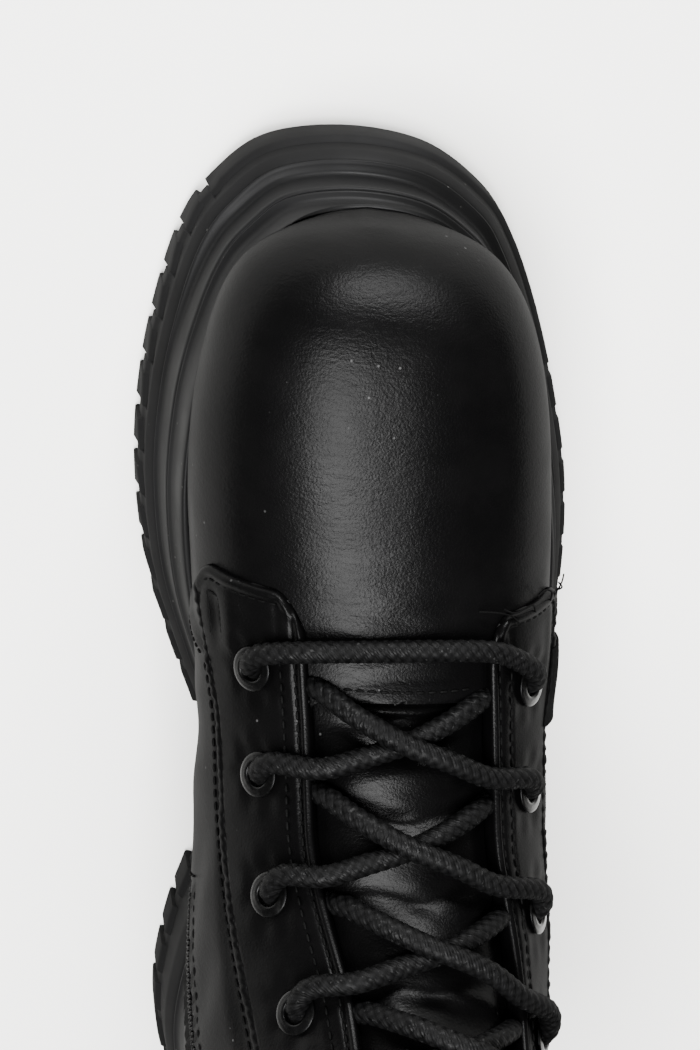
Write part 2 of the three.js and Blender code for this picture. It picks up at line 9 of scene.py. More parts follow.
import bmesh
import bpy
import numpy as np
from mathutils import Matrix, Vector


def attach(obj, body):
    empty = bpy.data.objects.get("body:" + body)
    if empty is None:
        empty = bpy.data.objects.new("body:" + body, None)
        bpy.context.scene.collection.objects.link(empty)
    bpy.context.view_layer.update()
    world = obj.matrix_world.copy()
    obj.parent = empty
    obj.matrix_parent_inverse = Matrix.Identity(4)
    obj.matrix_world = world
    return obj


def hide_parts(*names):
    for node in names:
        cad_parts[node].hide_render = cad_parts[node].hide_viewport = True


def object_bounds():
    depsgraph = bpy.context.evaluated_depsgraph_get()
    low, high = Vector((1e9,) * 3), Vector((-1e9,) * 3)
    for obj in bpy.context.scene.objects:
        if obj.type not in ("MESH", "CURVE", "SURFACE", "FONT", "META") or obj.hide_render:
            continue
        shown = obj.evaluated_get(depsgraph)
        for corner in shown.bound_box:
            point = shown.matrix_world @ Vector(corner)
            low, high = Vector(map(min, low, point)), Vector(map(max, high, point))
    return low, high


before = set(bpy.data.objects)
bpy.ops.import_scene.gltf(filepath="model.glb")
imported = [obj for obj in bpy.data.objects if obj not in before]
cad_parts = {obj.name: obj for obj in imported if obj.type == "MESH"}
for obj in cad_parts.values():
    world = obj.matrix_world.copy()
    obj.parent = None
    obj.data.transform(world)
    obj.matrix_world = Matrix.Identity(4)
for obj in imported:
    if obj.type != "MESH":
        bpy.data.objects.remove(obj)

CAD_LOW, CAD_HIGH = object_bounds()

# ------------------------------------------------------------------ sizes, in millimetres
SOLE_LENGTH = 288
SOLE_MIDDLE_X = -3.4
FOREFOOT_HEIGHT = 38
HEEL_HEIGHT = 58
HEEL_SLOPE = (70, 185)
TOE_SPRING = 8
TOE_SPRING_FROM = 215
ARCH_RISE = 11
ARCH = (86, 94, 104, 142)
HEEL_BEVEL = (14, 2)
LUG_DEPTH = 5
LUG_PITCH = 12
LUG_WIDTH = 8.6
SAW_DEPTH = 0.75
TOE_RIM_FROM = 236
MEDIAL_RIM_FROM = 274
MEDIAL_RIM_OUT = 8
SHALLOW_FROM = 222
TOE_TAPER = (225, 285)
WALL = 2.2
GAP = 0.3
FEATHER_INSET = 13
FOOTBED_INSET = 18.6
TOE_UNDER_SHARE = 0.72
TOE_KEEL_RISE = 5.0
FACING = 1.6
FACING_TOP = GAP + FACING
TONGUE_THICKNESS = 3.5
TONGUE_HALF_WIDTH = 31
THROAT_HALF_WIDTH = 21.5
THROAT_FRONT = 121.5
EYELET_ROWS = 7
EYELET_FIRST = 118.5
EYELET_PITCH = 24.2
EYELET_SIDE = 35.3
LACE_RADIUS = 2.5
LACE_OVER = FACING_TOP + 0.3 + LACE_RADIUS
BRAID_STRANDS = 10
BRAID_PITCH = 2.5
BRAID_HEIGHT = 0.36
LACE_STEP = 0.42
LACE_SIDES = 28
STITCH_PITCH = 3.0
STITCH_SIZE = (0.0022, 0.00068, 0.00055)
TOOTH_PITCH = 1.3
TOOTH_SIZE = (0.0025, 0.0009, 0.0011)
ZIP_SIDE = 79
ZIP_FROM = 169
ZIP_TO = 266
ZIP_PIVOT_OUT = 6.6
ZIP_STITCH_OUT = 7.6
COLLAR_STITCH_DEPTH = 13.5
TREAD_BARS = (20, 36, 52, 68, 152, 168, 184, 200, 216, 232, 248, 262)
TREAD_BAR_HALF = 4

# By side: r of the lacing panel's front edge, its seam's a, and how far that flares.
LACING_PANELS = {1: (98, 49, 6), -1: (103, 45, 11)}
# By side: r and a where the panel's outer front corner is tacked down.
CORNER_TACKS = {1: (109.5, 47.0), -1: (113.0, -50.5)}

# Plan outline of the sole: f forward from the heel, then the medial and lateral x.
SOLE_OUTLINE = np.array([
    (2.4, 15, -14), (9.7, 28, -27.5), (24, 37, -37), (44, 40.5, -41),
    (66, 38, -42), (86, 32.5, -44), (106, 28.5, -48.5), (124, 32, -53.3),
    (149, 42, -58.3), (172, 49.5, -60), (198, 53, -58.2), (222, 52.5, -52.8),
    (244, 49.2, -45.8), (262, 44.4, -38), (273.5, 37.6, -30), (284.2, 25.6, -14.4),
])
HEEL_TIP = (0, 0.5)
TOE_TIP = (6, 287.6)

# Sections of the last, from the toe to the collar.
LAST_COLUMNS = ("ridge_f", "ridge_z", "keel_f", "rise", "ridge_x",
                "medial", "lateral", "wide", "low", "dome")
LAST = np.array([
    (279.3, 62, 278.6, 13.5, 5, 6, 4, 0.5, 0.6, 2.0),
    (278.6, 69, 277.4, 9, 5, 15.5, -6.5, 0.42, 1.1, 2.0),
    (275.9, 77, 274.7, 5, 4.5, 25.5, -17.5, 0.4, 1.8, 2.1),
    (270.5, 84, 269.3, 1.6, 4, 33.5, -26, 0.4, 2.3, 2.3),
    (262, 90, 261, 0, 3.5, 38.7, -32.3, 0.39, 2.4, 2.4),
    (250, 94, 248.5, 0, 3, 42, -37, 0.385, 2.1, 2.4),
    (233, 97, 232.5, 0, 2, 44, -40.5, 0.38, 1.5, 2.4),
    (212, 100, 212, 0, 0, 44, -42.8, 0.38, 1.1, 2.3),
    (190, 105, 190, 0, -2.5, 42, -44, 0.38, 1, 2.2),
    (166, 114, 162, 0, -4.5, 39.5, -44.3, 0.38, 1.3, 2.1),
    (146, 125, 128, 0, -5.5, 38.5, -44.8, 0.38, 2.1, 2.1),
    (132, 135, 90, 0, -7, 39.5, -46, 0.39, 2.6, 2.1),
    (122, 145, 55, 0, -8.7, 39.5, -46, 0.41, 2.5, 2.1),
    (115, 155, 28, 0, -9.7, 38.5, -46, 0.43, 1.6, 2.1),
    (110, 165, 14.5, 0, -9.7, 37.5, -46.5, 0.46, 0.8, 2.1),
    (106, 176, 9.5, 18, -9, 37, -46.5, 0.47, 0.5, 2.1),
    (103, 188, 8.5, 44, -8, 37, -46.5, 0.48, 0.5, 2.1),
    (101, 200, 11.5, 75, -7, 37.5, -46, 0.49, 0.5, 2.1),
    (100, 212, 14, 108, -6, 38, -46, 0.5, 0.5, 2.1),
    (99.5, 223, 15, 140, -5, 39, -45.5, 0.5, 0.5, 2.1),
    (99, 234, 15, 170, -5, 40, -45.5, 0.5, 0.5, 2.1),
])
COLLAR = len(LAST) - 1

# Profiles of the sole's tiers, from the top down: level on the forefoot, inset from the
# ground outline along the sides, and what the toe adds to it.
WELT_PROFILE = np.array([
    (44.3, 10.1, 0.9), (44.1, 9.6, 1.2), (43.4, 9.2, 1.5), (41, 8.85, 1.9), (38, 8.5, 2.3),
    (35.6, 8.2, 2.6), (34, 7.9, 2.5), (33.1, 7.45, 2.1), (32.7, 6.95, 1.8), (32.4, 6.7, 1.7),
    (32.1, 6.75, 1.7), (31.9, 7.1, 1.8), (31.8, 8.0, 2.2), (31.75, 9.0, 2.4),
])
MIDSOLE_PROFILE = np.array([
    (31.1, 9.0, 2.4), (31.05, 7.6, 2.2), (30.95, 6.75, 1.8), (30.6, 6.4, 1.65), (29, 6.3, 1.75),
    (25, 6.0, 2.1), (21.5, 5.6, 2.35), (20.1, 5.35, 2.3), (19.5, 5.0, 1.8), (19.2, 4.5, 0.9),
    (19.05, 4.2, 0.3), (18.8, 4.15, 0.1), (18.65, 4.6, 0.2), (18.6, 6.6, 0.3),
])
OUTSOLE_PROFILE = np.array([
    (17.9, 6.6, 0), (17.85, 4.9, 0), (17.6, 4.2, 0), (17.1, 3.7, 0), (16.2, 3.0, 0.05),
    (15.4, 2.45, 0.15), (15.0, 2.2, 0.2), (14, 2.12, 0.18),
])


# ------------------------------------------------------------------ small helpers
def smooth(low, high, value):
    t = np.clip((np.asarray(value, float) - low) / (high - low), 0, 1)
    return t * t * (3 - 2 * t)


def lerp(a, b, t):
    return a + (b - a) * t


def bell(gap, width):
    return np.exp(-(gap / width) ** 2)


def unit(vectors):
    return vectors / np.maximum(np.linalg.norm(vectors, axis=-1), 1e-9)[..., None]


def pairs(first, second):
    return np.meshgrid(first, second, indexing="ij")


def lengths_along(points):
    """The length of a path up to each of its points."""
    return np.concatenate([[0], np.cumsum(np.linalg.norm(np.diff(points, axis=0), axis=1))])


def circle(sides):
    angle = np.arange(sides) / sides * 2 * math.pi
    return np.cos(angle), np.sin(angle)


def side_name(side):
    return "medial" if side > 0 else "lateral"


def place(x, f, z):
    """Sole coordinates to the row frame, still in millimetres."""
    x, f, z = np.broadcast_arrays(x, f, z)
    return np.stack([x - SOLE_MIDDLE_X, SOLE_LENGTH / 2 - f, z], -1).astype(float)


def catmull(a, b, c, d, t):
    return 0.5 * (2 * b + (c - a) * t + (2 * a - 5 * b + 4 * c - d) * t ** 2
                  + (3 * b - a - 3 * c + d) * t ** 3)


def spring(f):
    reach = np.maximum(np.asarray(f, float) - TOE_SPRING_FROM, 0) / (SOLE_LENGTH - TOE_SPRING_FROM)
    return TOE_SPRING * reach ** 2


def level_height(f, level):
    thickness = lerp(HEEL_HEIGHT, FOREFOOT_HEIGHT, smooth(*HEEL_SLOPE, f))
    return spring(f) + thickness * level / FOREFOOT_HEIGHT


def on_sole(spot, level, lift=0.0):
    """Points of a plan outline at one level of the sole."""
    return place(spot[:, 0], spot[:, 1], level_height(spot[:, 1], level) + lift)


def ground_height(f):
    f = np.asarray(f, float)
    arch = smooth(ARCH[0], ARCH[1], f) * (1 - smooth(ARCH[2], ARCH[3], f))
    bevel = np.maximum(HEEL_BEVEL[0] - f, 0) / HEEL_BEVEL[0]
    return spring(f) + ARCH_RISE * arch + HEEL_BEVEL[1] * bevel ** 2


# ------------------------------------------------------------------ outline of the sole
def sole_outline(steps):
    medial = [(m, f) for f, m, _ in SOLE_OUTLINE]
    lateral = [(s, f) for f, _, s in SOLE_OUTLINE][::-1]
    knots = np.array([HEEL_TIP, *medial, TOE_TIP, *lateral], float)
    count = len(knots)
    t = (np.arange(steps) / steps)[:, None]
    runs = [catmull(knots[i - 1], knots[i], knots[(i + 1) % count], knots[(i + 2) % count], t)
            for i in range(count)]
    return np.vstack(runs)


def outline_normals(outline):
    along = unit(np.roll(outline, -1, 0) - np.roll(outline, 1, 0))
    return np.stack([along[:, 1], -along[:, 0]], 1)


OUTLINE = sole_outline(14)
OUTLINE_OUT = outline_normals(OUTLINE)
FEATHER = sole_outline(6)
FEATHER = FEATHER - outline_normals(FEATHER) * FEATHER_INSET


def outline_widths(outline, f):
    ahead = np.roll(outline, -1, 0)
    crosses = (outline[:, 1] - f) * (ahead[:, 1] - f) <= 0
    a, b = outline[crosses], ahead[crosses]
    run = b[:, 1] - a[:, 1]
    run = np.where(np.abs(run) < 1e-9, 1e-9, run)
    x = a[:, 0] + (b[:, 0] - a[:, 0]) * (f - a[:, 1]) / run
    return max(x.max(initial=0), 0.4), min(x.min(initial=0), -0.4)


# ------------------------------------------------------------------ the leather's surface
def last_section(u, steps):
    """Points of one section, from the lateral keel over the ridge to the medial keel."""
    i = int(min(max(math.floor(u), 0), COLLAR - 1))
    rows = np.vstack([2 * LAST[0] - LAST[1], LAST, 2 * LAST[-1] - LAST[-2]])
    row = dict(zip(LAST_COLUMNS, catmull(rows[i], rows[i + 1], rows[i + 2], rows[i + 3], u - i)))
    rise = max(row["rise"], 0)
    if row["keel_f"] > 200:
        rise = min(rise, TOE_KEEL_RISE)
    keel_z = level_height(row["keel_f"], FOREFOOT_HEIGHT) + rise
    heel_up = min(rise / 12, 1) if row["keel_f"] < 60 else 0
    wide = min(max(row["wide"], 0.2), 0.6)
    low = min(max(row["low"], 0.45), 2.6)
    feather = outline_widths(FEATHER, row["keel_f"])
    climb = np.linspace(0, 1, steps + 1)
    toe_share = TOE_UNDER_SHARE * (1 - smooth(2.6, 4.2, u))
    bend = 0.4
    under = climb <= bend
    turn = np.sin(np.clip((climb - bend) / (1 - bend), 0, 1) * math.pi / 2)
    height = np.where(under, wide * (1 - np.cos(np.minimum(climb / bend, 1) * math.pi / 2)),
                      lerp(wide, 1, turn))
    sides = []
    for side, widest, edge in ((-1, row["lateral"], feather[1]), (1, row["medial"], feather[0])):
        edge *= 1 - heel_up
        edge = max(abs(edge), toe_share * abs(widest)) * side
        keel_x = min(edge, widest) if side > 0 else max(edge, widest)
        belly = np.sin(math.pi / 2 * np.clip(height / wide, 0, 1) ** low)
        crown = (1 - turn ** row["dome"]) ** (1 / row["dome"])
        x = np.where(under, lerp(keel_x, widest, belly), lerp(row["ridge_x"], widest, crown))
        sides.append(place(x, lerp(row["keel_f"], row["ridge_f"], height),
                           lerp(keel_z, row["ridge_z"], height)))
    return np.vstack([sides[0], sides[1][::-1][1:]])


def resample(points, count):
    lengths = lengths_along(points)
    at = np.linspace(0, lengths[-1], count)
    return np.stack([np.interp(at, lengths, points[:, k]) for k in range(3)], 1), lengths[-1]


UPPER_COLUMNS = 62
HALF_STEPS = 96
ROW_NUMBERS = np.linspace(0, COLLAR, 401)
SKIN = []
HALF_ARC = []
for number in ROW_NUMBERS:
    whole = last_section(number, 150)
    middle = len(whole) // 2
    lateral_half, lateral_arc = resample(whole[:middle + 1], HALF_STEPS + 1)
    medial_half, medial_arc = resample(whole[middle:], HALF_STEPS + 1)
    SKIN.append(np.vstack([lateral_half, medial_half[1:]]))
    HALF_ARC.append((lateral_arc, medial_arc))
SKIN = np.array(SKIN)
HALF_ARC = np.array(HALF_ARC)
NORMALS = unit(np.cross(np.gradient(SKIN, axis=1), np.gradient(SKIN, axis=0)))
TOE_ROWS = ROW_NUMBERS < 0.5
toe_turn = (1 - ROW_NUMBERS[TOE_ROWS] / 0.5)[:, None, None]
first_full = NORMALS[np.argmin(TOE_ROWS)][None]
NORMALS[TOE_ROWS] = lerp(first_full, np.array([0, -1, 0.0]), toe_turn)
NORMALS = unit(NORMALS)
RIDGE = lengths_along(SKIN[:, HALF_STEPS])
RIDGE_LENGTH = RIDGE[-1]


def surface(r, a):
    """The point and the outward normal of the leather at r and a."""
    r, a = np.broadcast_arrays(np.asarray(r, float), np.asarray(a, float))
    row = np.interp(r, RIDGE, np.arange(len(RIDGE)))
    i = np.clip(np.floor(row).astype(int), 0, len(RIDGE) - 2)
    t = (row - i)[..., None]
    arcs = lerp(HALF_ARC[i], HALF_ARC[i + 1], t)
    half = np.where(a >= 0, arcs[..., 1], arcs[..., 0])
    column = HALF_STEPS * (1 + np.clip(a / half, -1, 1))
    j = np.clip(np.floor(column).astype(int), 0, 2 * HALF_STEPS - 1)
    w = (column - j)[..., None]
    found = []
    for grid in (SKIN, NORMALS):
        near = lerp(grid[i, j], grid[i, j + 1], w)
        far = lerp(grid[i + 1, j], grid[i + 1, j + 1], w)
        found.append(lerp(near, far, t))
    return found[0], unit(found[1])


def skin(r, a, d=0.0):
    point, normal = surface(r, a)
    return point + normal * np.asarray(d, float)[..., None]


def keel_arc(r, side):
    return np.interp(r, RIDGE, HALF_ARC[:, 1 if side > 0 else 0])


def throat_middle(r):
    return -5 * smooth(150, 192, r)


def throat_half(r):
    turn = np.clip((np.asarray(r, float) - THROAT_FRONT) / 10, 0, 1)
    return (THROAT_HALF_WIDTH + 1.5) * (1 - (1 - turn) ** 4) ** 0.25


def seam_reach(side, r):
    _, seam, flare = LACING_PANELS[side]
    return seam + flare * (1 - smooth(106, 137, r))


def seam_place(side, r):
    return throat_middle(r) + side * seam_reach(side, r)


def facing_place(side, s, t):
    """The lacing panel: s from its front edge to the collar, t from throat to side seam."""
    corner = 9 * (1 - np.clip(t / 0.22, 0, 1)) ** 2.2 + 6 * np.clip((t - 0.75) / 0.25, 0, 1) ** 2
    r = lerp(LACING_PANELS[side][0] + corner, RIDGE_LENGTH - 1.5, s)
    return r, throat_middle(r) + side * lerp(THROAT_HALF_WIDTH, seam_reach(side, r), t)


def quarter_front(side, a):
    """r of the side panel's front edge, from the lacing panel down to the sole."""
    reach = np.clip((np.abs(a) - 54) / 60, 0, 1)
    return (121 if side > 0 else 117) - 5 * reach


# ------------------------------------------------------------------ folds of the leather
# Soft folds: from r, a to r, a, half width and height. Troughs are negative.
FOLD_COLUMNS = ("r0", "a0", "r1", "a1", "width", "height")
UPPER_FOLDS = [
    (99, -26, 104, 4, 2.2, -0.28), (104, -6, 101, 20, 2.0, -0.22),
    (108, -14, 113, 10, 2.6, -0.4), (111, 6, 108, 24, 2.0, -0.3),
    (116, -18, 118, 14, 2.4, -0.45), (94, -16, 95, 8, 2.4, -0.16),
    (88, 2, 90, 24, 2.6, -0.14), (113.5, -16, 115, 12, 1.6, 0.25),
    (118, -90, 122, -68, 5, -0.5), (128, 66, 134, 92, 5, -0.7),
    (140, 60, 150, 88, 6, -0.9), (150, 62, 160, 84, 5, 0.5),
    (158, 58, 172, 72, 5, -0.8), (178, 54, 188, 70, 5, -0.9),
    (190, 56, 200, 88, 6, 0.6), (200, 54, 208, 84, 6, -1.0),
    (140, -58, 150, -86, 6, -0.9), (154, -58, 163, -88, 6, 0.6),
    (163, -56, 176, -84, 6, -0.9), (182, -58, 192, -92, 7, -1.1),
    (196, -60, 206, -100, 6, 0.6), (206, -56, 214, -96, 7, -1.0),
    (186, 96, 196, 118, 8, -0.8), (190, -98, 200, -120, 8, -0.8),
    (228, -70, 236, -110, 9, -0.6), (226, 60, 234, 74, 8, -0.5),
]
FACING_FOLDS = [
    (112, 26, 118, 33, 3.0, -0.35), (127, 25, 131, 44, 4.0, -0.35),
    (150, 25, 155, 45, 4.5, -0.4), (175, 24, 180, 44, 4.5, -0.45),
    (199, 24, 204, 42, 5.0, -0.4), (108, -45, 130, -41, 3.0, -0.35),
    (134, -27, 133, -42, 4.0, -0.3), (158, -26, 157, -46, 4.5, -0.4),
    (182, -30, 182, -48, 4.5, -0.4), (206, -30, 206, -46, 5.0, -0.4),
]
TONGUE_FOLDS = [
    (124.5, -16, 125, 17, 1.4, 0.5), (129, -18, 133, 6, 2.6, -0.8),
    (133, -2, 128, 18, 2.4, -0.7), (138, -16, 141, 16, 3.2, 0.7),
    (147, -20, 150, 8, 2.6, -1.0), (151, -4, 146, 18, 2.6, -0.8),
    (156, -18, 159, 14, 3.4, 0.8), (164, -22, 168, 2, 2.6, -1.0),
    (169, -8, 164, 15, 2.8, -0.9), (176, -20, 178, 10, 3.6, 0.8),
    (185, -24, 189, 2, 3.0, -1.1), (191, -12, 186, 12, 3.0, -0.9),
    (199, -20, 200, 8, 4.0, 0.8), (209, -24, 213, 4, 3.2, -1.0),
    (216, -12, 210, 14, 3.4, -0.9), (226, -18, 228, 10, 4.4, 0.8),
    (237, -22, 240, 8, 3.6, -0.9), (252, -20, 255, 10, 5.0, 0.6),
]


def folds(table, r, a):
    total = np.zeros(np.broadcast(r, a).shape)
    for row in table:
        fold = dict(zip(FOLD_COLUMNS, row))
        run_r, run_a = fold["r1"] - fold["r0"], fold["a1"] - fold["a0"]
        share = ((r - fold["r0"]) * run_r + (a - fold["a0"]) * run_a) / (run_r ** 2 + run_a ** 2)
        near = np.clip(share, 0, 1)
        bow = 1.6 * np.sin(near * math.pi)
        gap = np.hypot(r - fold["r0"] - run_r * near + bow, a - fold["a0"] - run_a * near)
        fade = 0.35 + 0.65 * np.sin(near * math.pi)
        total = total + fold["height"] * fade * bell(gap, fold["width"])
    return total


def wander(value, seed):
    """A smooth wavering number, about one unit either way, along a length in millimetres."""
    total = np.zeros(np.shape(value))
    for k in range(1, 5):
        phase = math.sin(seed * 12.9898 + k * 78.233) * 43758.5453
        total = total + np.sin(np.asarray(value) * 0.11 * k ** 1.7 + phase) / k
    return total * 0.6


def below_collar(r, a):
    """How far a place lies below the collar's rim, along the leather."""
    rows = RIDGE_LENGTH - np.array([0.0, 4.0, 8.0, 12.0, 18.0])
    spots = [skin(rows[k], a) for k in range(len(rows))]
    steps = [np.linalg.norm(spots[k + 1] - spots[k], axis=-1) for k in range(len(rows) - 1)]
    total = np.zeros(np.shape(a))
    for k, step in enumerate(steps):
        total = total + step * np.clip((rows[k] - r) / (rows[k] - rows[k + 1]), 0, 1)
    return total + np.maximum(rows[-1] - r, 0) * steps[-1] / (rows[-2] - rows[-1])


def collar_row(a, depth):
    """r of the line that runs depth below the collar's rim."""
    r = np.full(np.shape(a), RIDGE_LENGTH - depth)
    for _ in range(6):
        r = r + (below_collar(r, a) - depth) * 0.4
    return r


def upper_relief(r, a):
    """How far the leather stands out from the plain last, in millimetres."""
    r, a = np.asarray(r, float), np.asarray(a, float)
    side = np.where(a >= 0, 1, -1)
    size = np.abs(a)
    edge = np.where(side > 0, quarter_front(1, a), quarter_front(-1, a))
    below_facing = smooth(50, 54, size)
    panel = smooth(edge - 0.5, edge + 0.4, r) * below_facing
    relief = folds(UPPER_FOLDS, r, a) + 0.9 * panel
    relief = relief + 0.25 * bell(r - edge - 1.2, 0.9) * below_facing
    zip_gap = np.abs(a - ZIP_SIDE)
    in_zip = smooth(ZIP_FROM - 1.5, ZIP_FROM + 0.5, r)
    relief = relief - in_zip * 1.3 * (1 - smooth(3.3, 4.2, zip_gap))
    relief = relief + in_zip * 0.35 * bell(zip_gap - 5.2, 1.0)
    relief = relief - in_zip * 0.3 * bell(zip_gap - ZIP_STITCH_OUT, 0.5)
    rim = below_collar(r, a)
    padded = smooth(0, 3, rim) * (1 - smooth(9, 13, rim))
    relief = relief + 1.1 * padded - 0.4 * bell(rim - COLLAR_STITCH_DEPTH, 0.8)
    keel = np.where(side > 0, keel_arc(r, 1), keel_arc(r, -1))
    heel_seam = np.exp(-((keel - size) / 7.0) ** 4) * smooth(214, 222, r)
    return relief + 0.7 * heel_seam


# ------------------------------------------------------------------ meshes
def grid_faces(rows, columns, start=0, flip=False, wrap=False):
    """Quads of a grid of points numbered row by row."""
    i, j = pairs(np.arange(rows - 1), np.arange(columns if wrap else columns - 1))
    k = (j + 1) % columns
    quad = [i * columns + j, i * columns + k, (i + 1) * columns + k, (i + 1) * columns + j]
    faces = np.stack(quad, -1).reshape(-1, 4) + start
    return faces[:, ::-1] if flip else faces


def make_object(name, points, faces, material, shade=True):
    mesh = bpy.data.meshes.new(name)
    scaled = np.asarray(points, float).reshape(-1, 3) / 1000
    mesh.from_pydata(scaled.tolist(), [], [list(map(int, face)) for face in faces])
    mesh.update()
    if shade:
        mesh.shade_smooth()
    mesh.materials.append(material)
    made = bpy.data.objects.new(name, mesh)
    bpy.context.collection.objects.link(made)
    return made


def weld(made, distance=2e-6):
    """Merges doubled points and turns every face outwards."""
    shape = bmesh.new()
    shape.from_mesh(made.data)
    bmesh.ops.remove_doubles(shape, verts=shape.verts, dist=distance)
    bmesh.ops.dissolve_degenerate(shape, edges=shape.edges, dist=distance)
    bmesh.ops.recalc_face_normals(shape, faces=shape.faces)
    shape.to_mesh(made.data)
    shape.free()
    return made


def ring_mesh(rings):
    """Points and faces of a closed body through rings of equal count."""
    rings = np.asarray(rings)
    rows, count = rings.shape[:2]
    faces = grid_faces(rows, count, wrap=True).tolist()
    for start, flip in ((0, True), ((rows - 1) * count, False)):
        low, high = 0, count - 1
        while high - low > 1:
            strip = [low, low + 1, high - 1, high] if high - low > 2 else [low, low + 1, high]
            faces.append([start + k for k in (strip[::-1] if flip else strip)])
            low, high = low + 1, high - 1
    return rings.reshape(-1, 3), faces


def sheet_mesh(outside, inside):
    """Points and faces of a closed sheet between its two sides."""
    return ring_mesh(np.concatenate([outside, inside[:, ::-1]], 1))


def finish_piece(made, nodes=(), body="boot"):
    if nodes:
        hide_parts(*nodes)
    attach(made, body)
    return made


def closed_piece(name, shape, material, nodes=(), body="boot", distance=2e-6):
    """A closed body from its points and faces, welded and finished."""
    made = weld(make_object(name, *shape, material), distance)
    return finish_piece(made, nodes, body)


def joined(parts):
    """The points and faces of several bodies as one list of each."""
    points, faces = [], []
    for part_points, part_faces in parts:
        first = len(points)
        points += list(part_points)
        faces += [[first + k for k in face] for face in part_faces]
    return np.array(points), faces


# ------------------------------------------------------------------ materials
class Shader:
    """One procedural material, with short words for the nodes it needs."""

    def __init__(self, name, color, roughness, metallic=0.0, gloss=0.1):
        self.material = bpy.data.materials.new(name)
        self.material.use_nodes = True
        self.tree = self.material.node_tree
        self.tree.nodes.clear()
        self.shader = self.node("BsdfPrincipled", {
            "Base Color": (*color, 1), "Roughness": roughness, "Metallic": metallic,
            "Specular IOR Level": 0, "Coat Weight": gloss, "Coat Roughness": roughness})
        self.node("OutputMaterial", {"Surface": self.shader.outputs["BSDF"]})
        self.place = self.node("TexCoord").outputs["Object"]
        self.bump_out = None

    def node(self, kind, inputs=None, **settings):
        """A node with its settings, and its inputs given a number or linked."""
        made = self.tree.nodes.new("ShaderNode" + kind)
        for name, value in settings.items():
            setattr(made, name, value)
        for name, value in (inputs or {}).items():
            if isinstance(value, bpy.types.NodeSocket):
                self.tree.links.new(value, made.inputs[name])
            else:
                made.inputs[name].default_value = value
        return made

    def stretched(self, scale, turn=(0, 0, 0)):
        inputs = {"Scale": scale, "Rotation": turn, "Vector": self.place}
        return self.node("Mapping", inputs).outputs["Vector"]

    def noise(self, scale, detail=3.0, rough=0.55, distort=0.0, vector=None):
        inputs = {"Scale": scale, "Detail": detail, "Roughness": rough, "Distortion": distort,
                  "Vector": vector or self.place}
        return self.node("TexNoise", inputs).outputs["Fac"]

    def cells(self, scale, feature="F1"):
        inputs = {"Scale": scale, "Vector": self.place}
        return self.node("TexVoronoi", inputs, feature=feature).outputs["Distance"]

    def spread(self, value, low, high, to_low=0.0, to_high=1.0):
        inputs = {"Value": value, "From Min": low, "From Max": high, "To Min": to_low,
                  "To Max": to_high}
        return self.node("MapRange", inputs, interpolation_type="SMOOTHSTEP").outputs["Result"]

    def math(self, kind, a, b=None, clamp=False):
        inputs = {0: a} if b is None else {0: a, 1: b}
        return self.node("Math", inputs, operation=kind, use_clamp=clamp).outputs["Value"]

    def blend_colors(self, mask, under, over):
        under, over = ((*c, 1) if isinstance(c, tuple) else c for c in (under, over))
        made = self.node("Mix", data_type="RGBA")
        for name, value in (("Factor_Float", mask), ("A_Color", under), ("B_Color", over)):
            socket = next(s for s in made.inputs if s.identifier == name)
            if isinstance(value, tuple):
                socket.default_value = value
            else:
                self.tree.links.new(value, socket)
        return next(s for s in made.outputs if s.identifier == "Result_Color")

    def bump(self, height, strength, distance):
        inputs = {"Strength": strength, "Distance": distance, "Height": height}
        if self.bump_out is not None:
            inputs["Normal"] = self.bump_out
        self.bump_out = self.node("Bump", inputs).outputs["Normal"]
        self.feed(self.bump_out, "Normal", "Coat Normal")

    def feed(self, value, *names):
        for name in names:
            self.tree.links.new(value, self.shader.inputs[name])

    def attribute(self, name):
        return self.node("Attribute", attribute_name=name).outputs["Fac"]

    def base(self, color):
        self.feed(color, "Base Color")

    def rough(self, value):
        self.feed(value, "Roughness", "Coat Roughness")


def dust_mask(look, scale=210, reach=0.045):
    """Sparse specks of dust, thinned out in patches."""
    speck = look.spread(look.cells(scale), reach, reach + 0.03, 1.0, 0.0)
    patch = look.spread(look.noise(31, 2), 0.5, 0.62)
    return look.math("MULTIPLY", speck, patch, clamp=True)


def leather_look(name, tone, roughness, grain=1.0):
    look = Shader(name, (tone, tone, tone * 1.04), roughness, gloss=0.09)
    pores = look.cells(1500)
    pebbles = look.cells(1150, "DISTANCE_TO_EDGE")
    lines = look.noise(330, 4, 0.65, 0.6, look.stretched((1.0, 2.6, 1.0), (0, 0, 0.2)))
    wash = look.noise(26, 3, 0.6)
    look.bump(look.spread(pebbles, 0.0, 0.2), 0.07 * grain, 0.0002)
    look.bump(pores, 0.18 * grain, 0.00014)
    look.bump(lines, 0.30 * grain, 0.00035)
    look.rough(look.spread(wash, 0.3, 0.7, roughness - 0.05, roughness + 0.07))
    shade = look.spread(look.noise(60, 4, 0.6), 0.35, 0.7)
    mixed = look.blend_colors(shade, (tone * 0.8, tone * 0.78, tone * 0.84),
                              (tone * 1.35, tone * 1.3, tone * 1.36))
    look.base(look.blend_colors(dust_mask(look), mixed, (0.03, 0.03, 0.03)))
    return look.material


def rubber_look(name, tone, roughness):
    look = Shader(name, (tone, tone, tone), roughness, gloss=0.13)
    fine = look.noise(1900, 2, 0.5)
    soft = look.noise(160, 3, 0.5)
    look.bump(fine, 0.10, 0.00016)
    look.bump(soft, 0.06, 0.0004)
    look.rough(look.spread(look.noise(40, 3), 0.3, 0.7, roughness - 0.06, roughness + 0.08))
    shade = look.spread(look.noise(22, 4, 0.6), 0.35, 0.7)
    mixed = look.blend_colors(shade, (tone * 0.85,) * 3, (tone * 1.25, tone * 1.25, tone * 1.3))
    look.base(look.blend_colors(dust_mask(look, 240, 0.05), mixed, (0.035, 0.035, 0.033)))
    return look.material


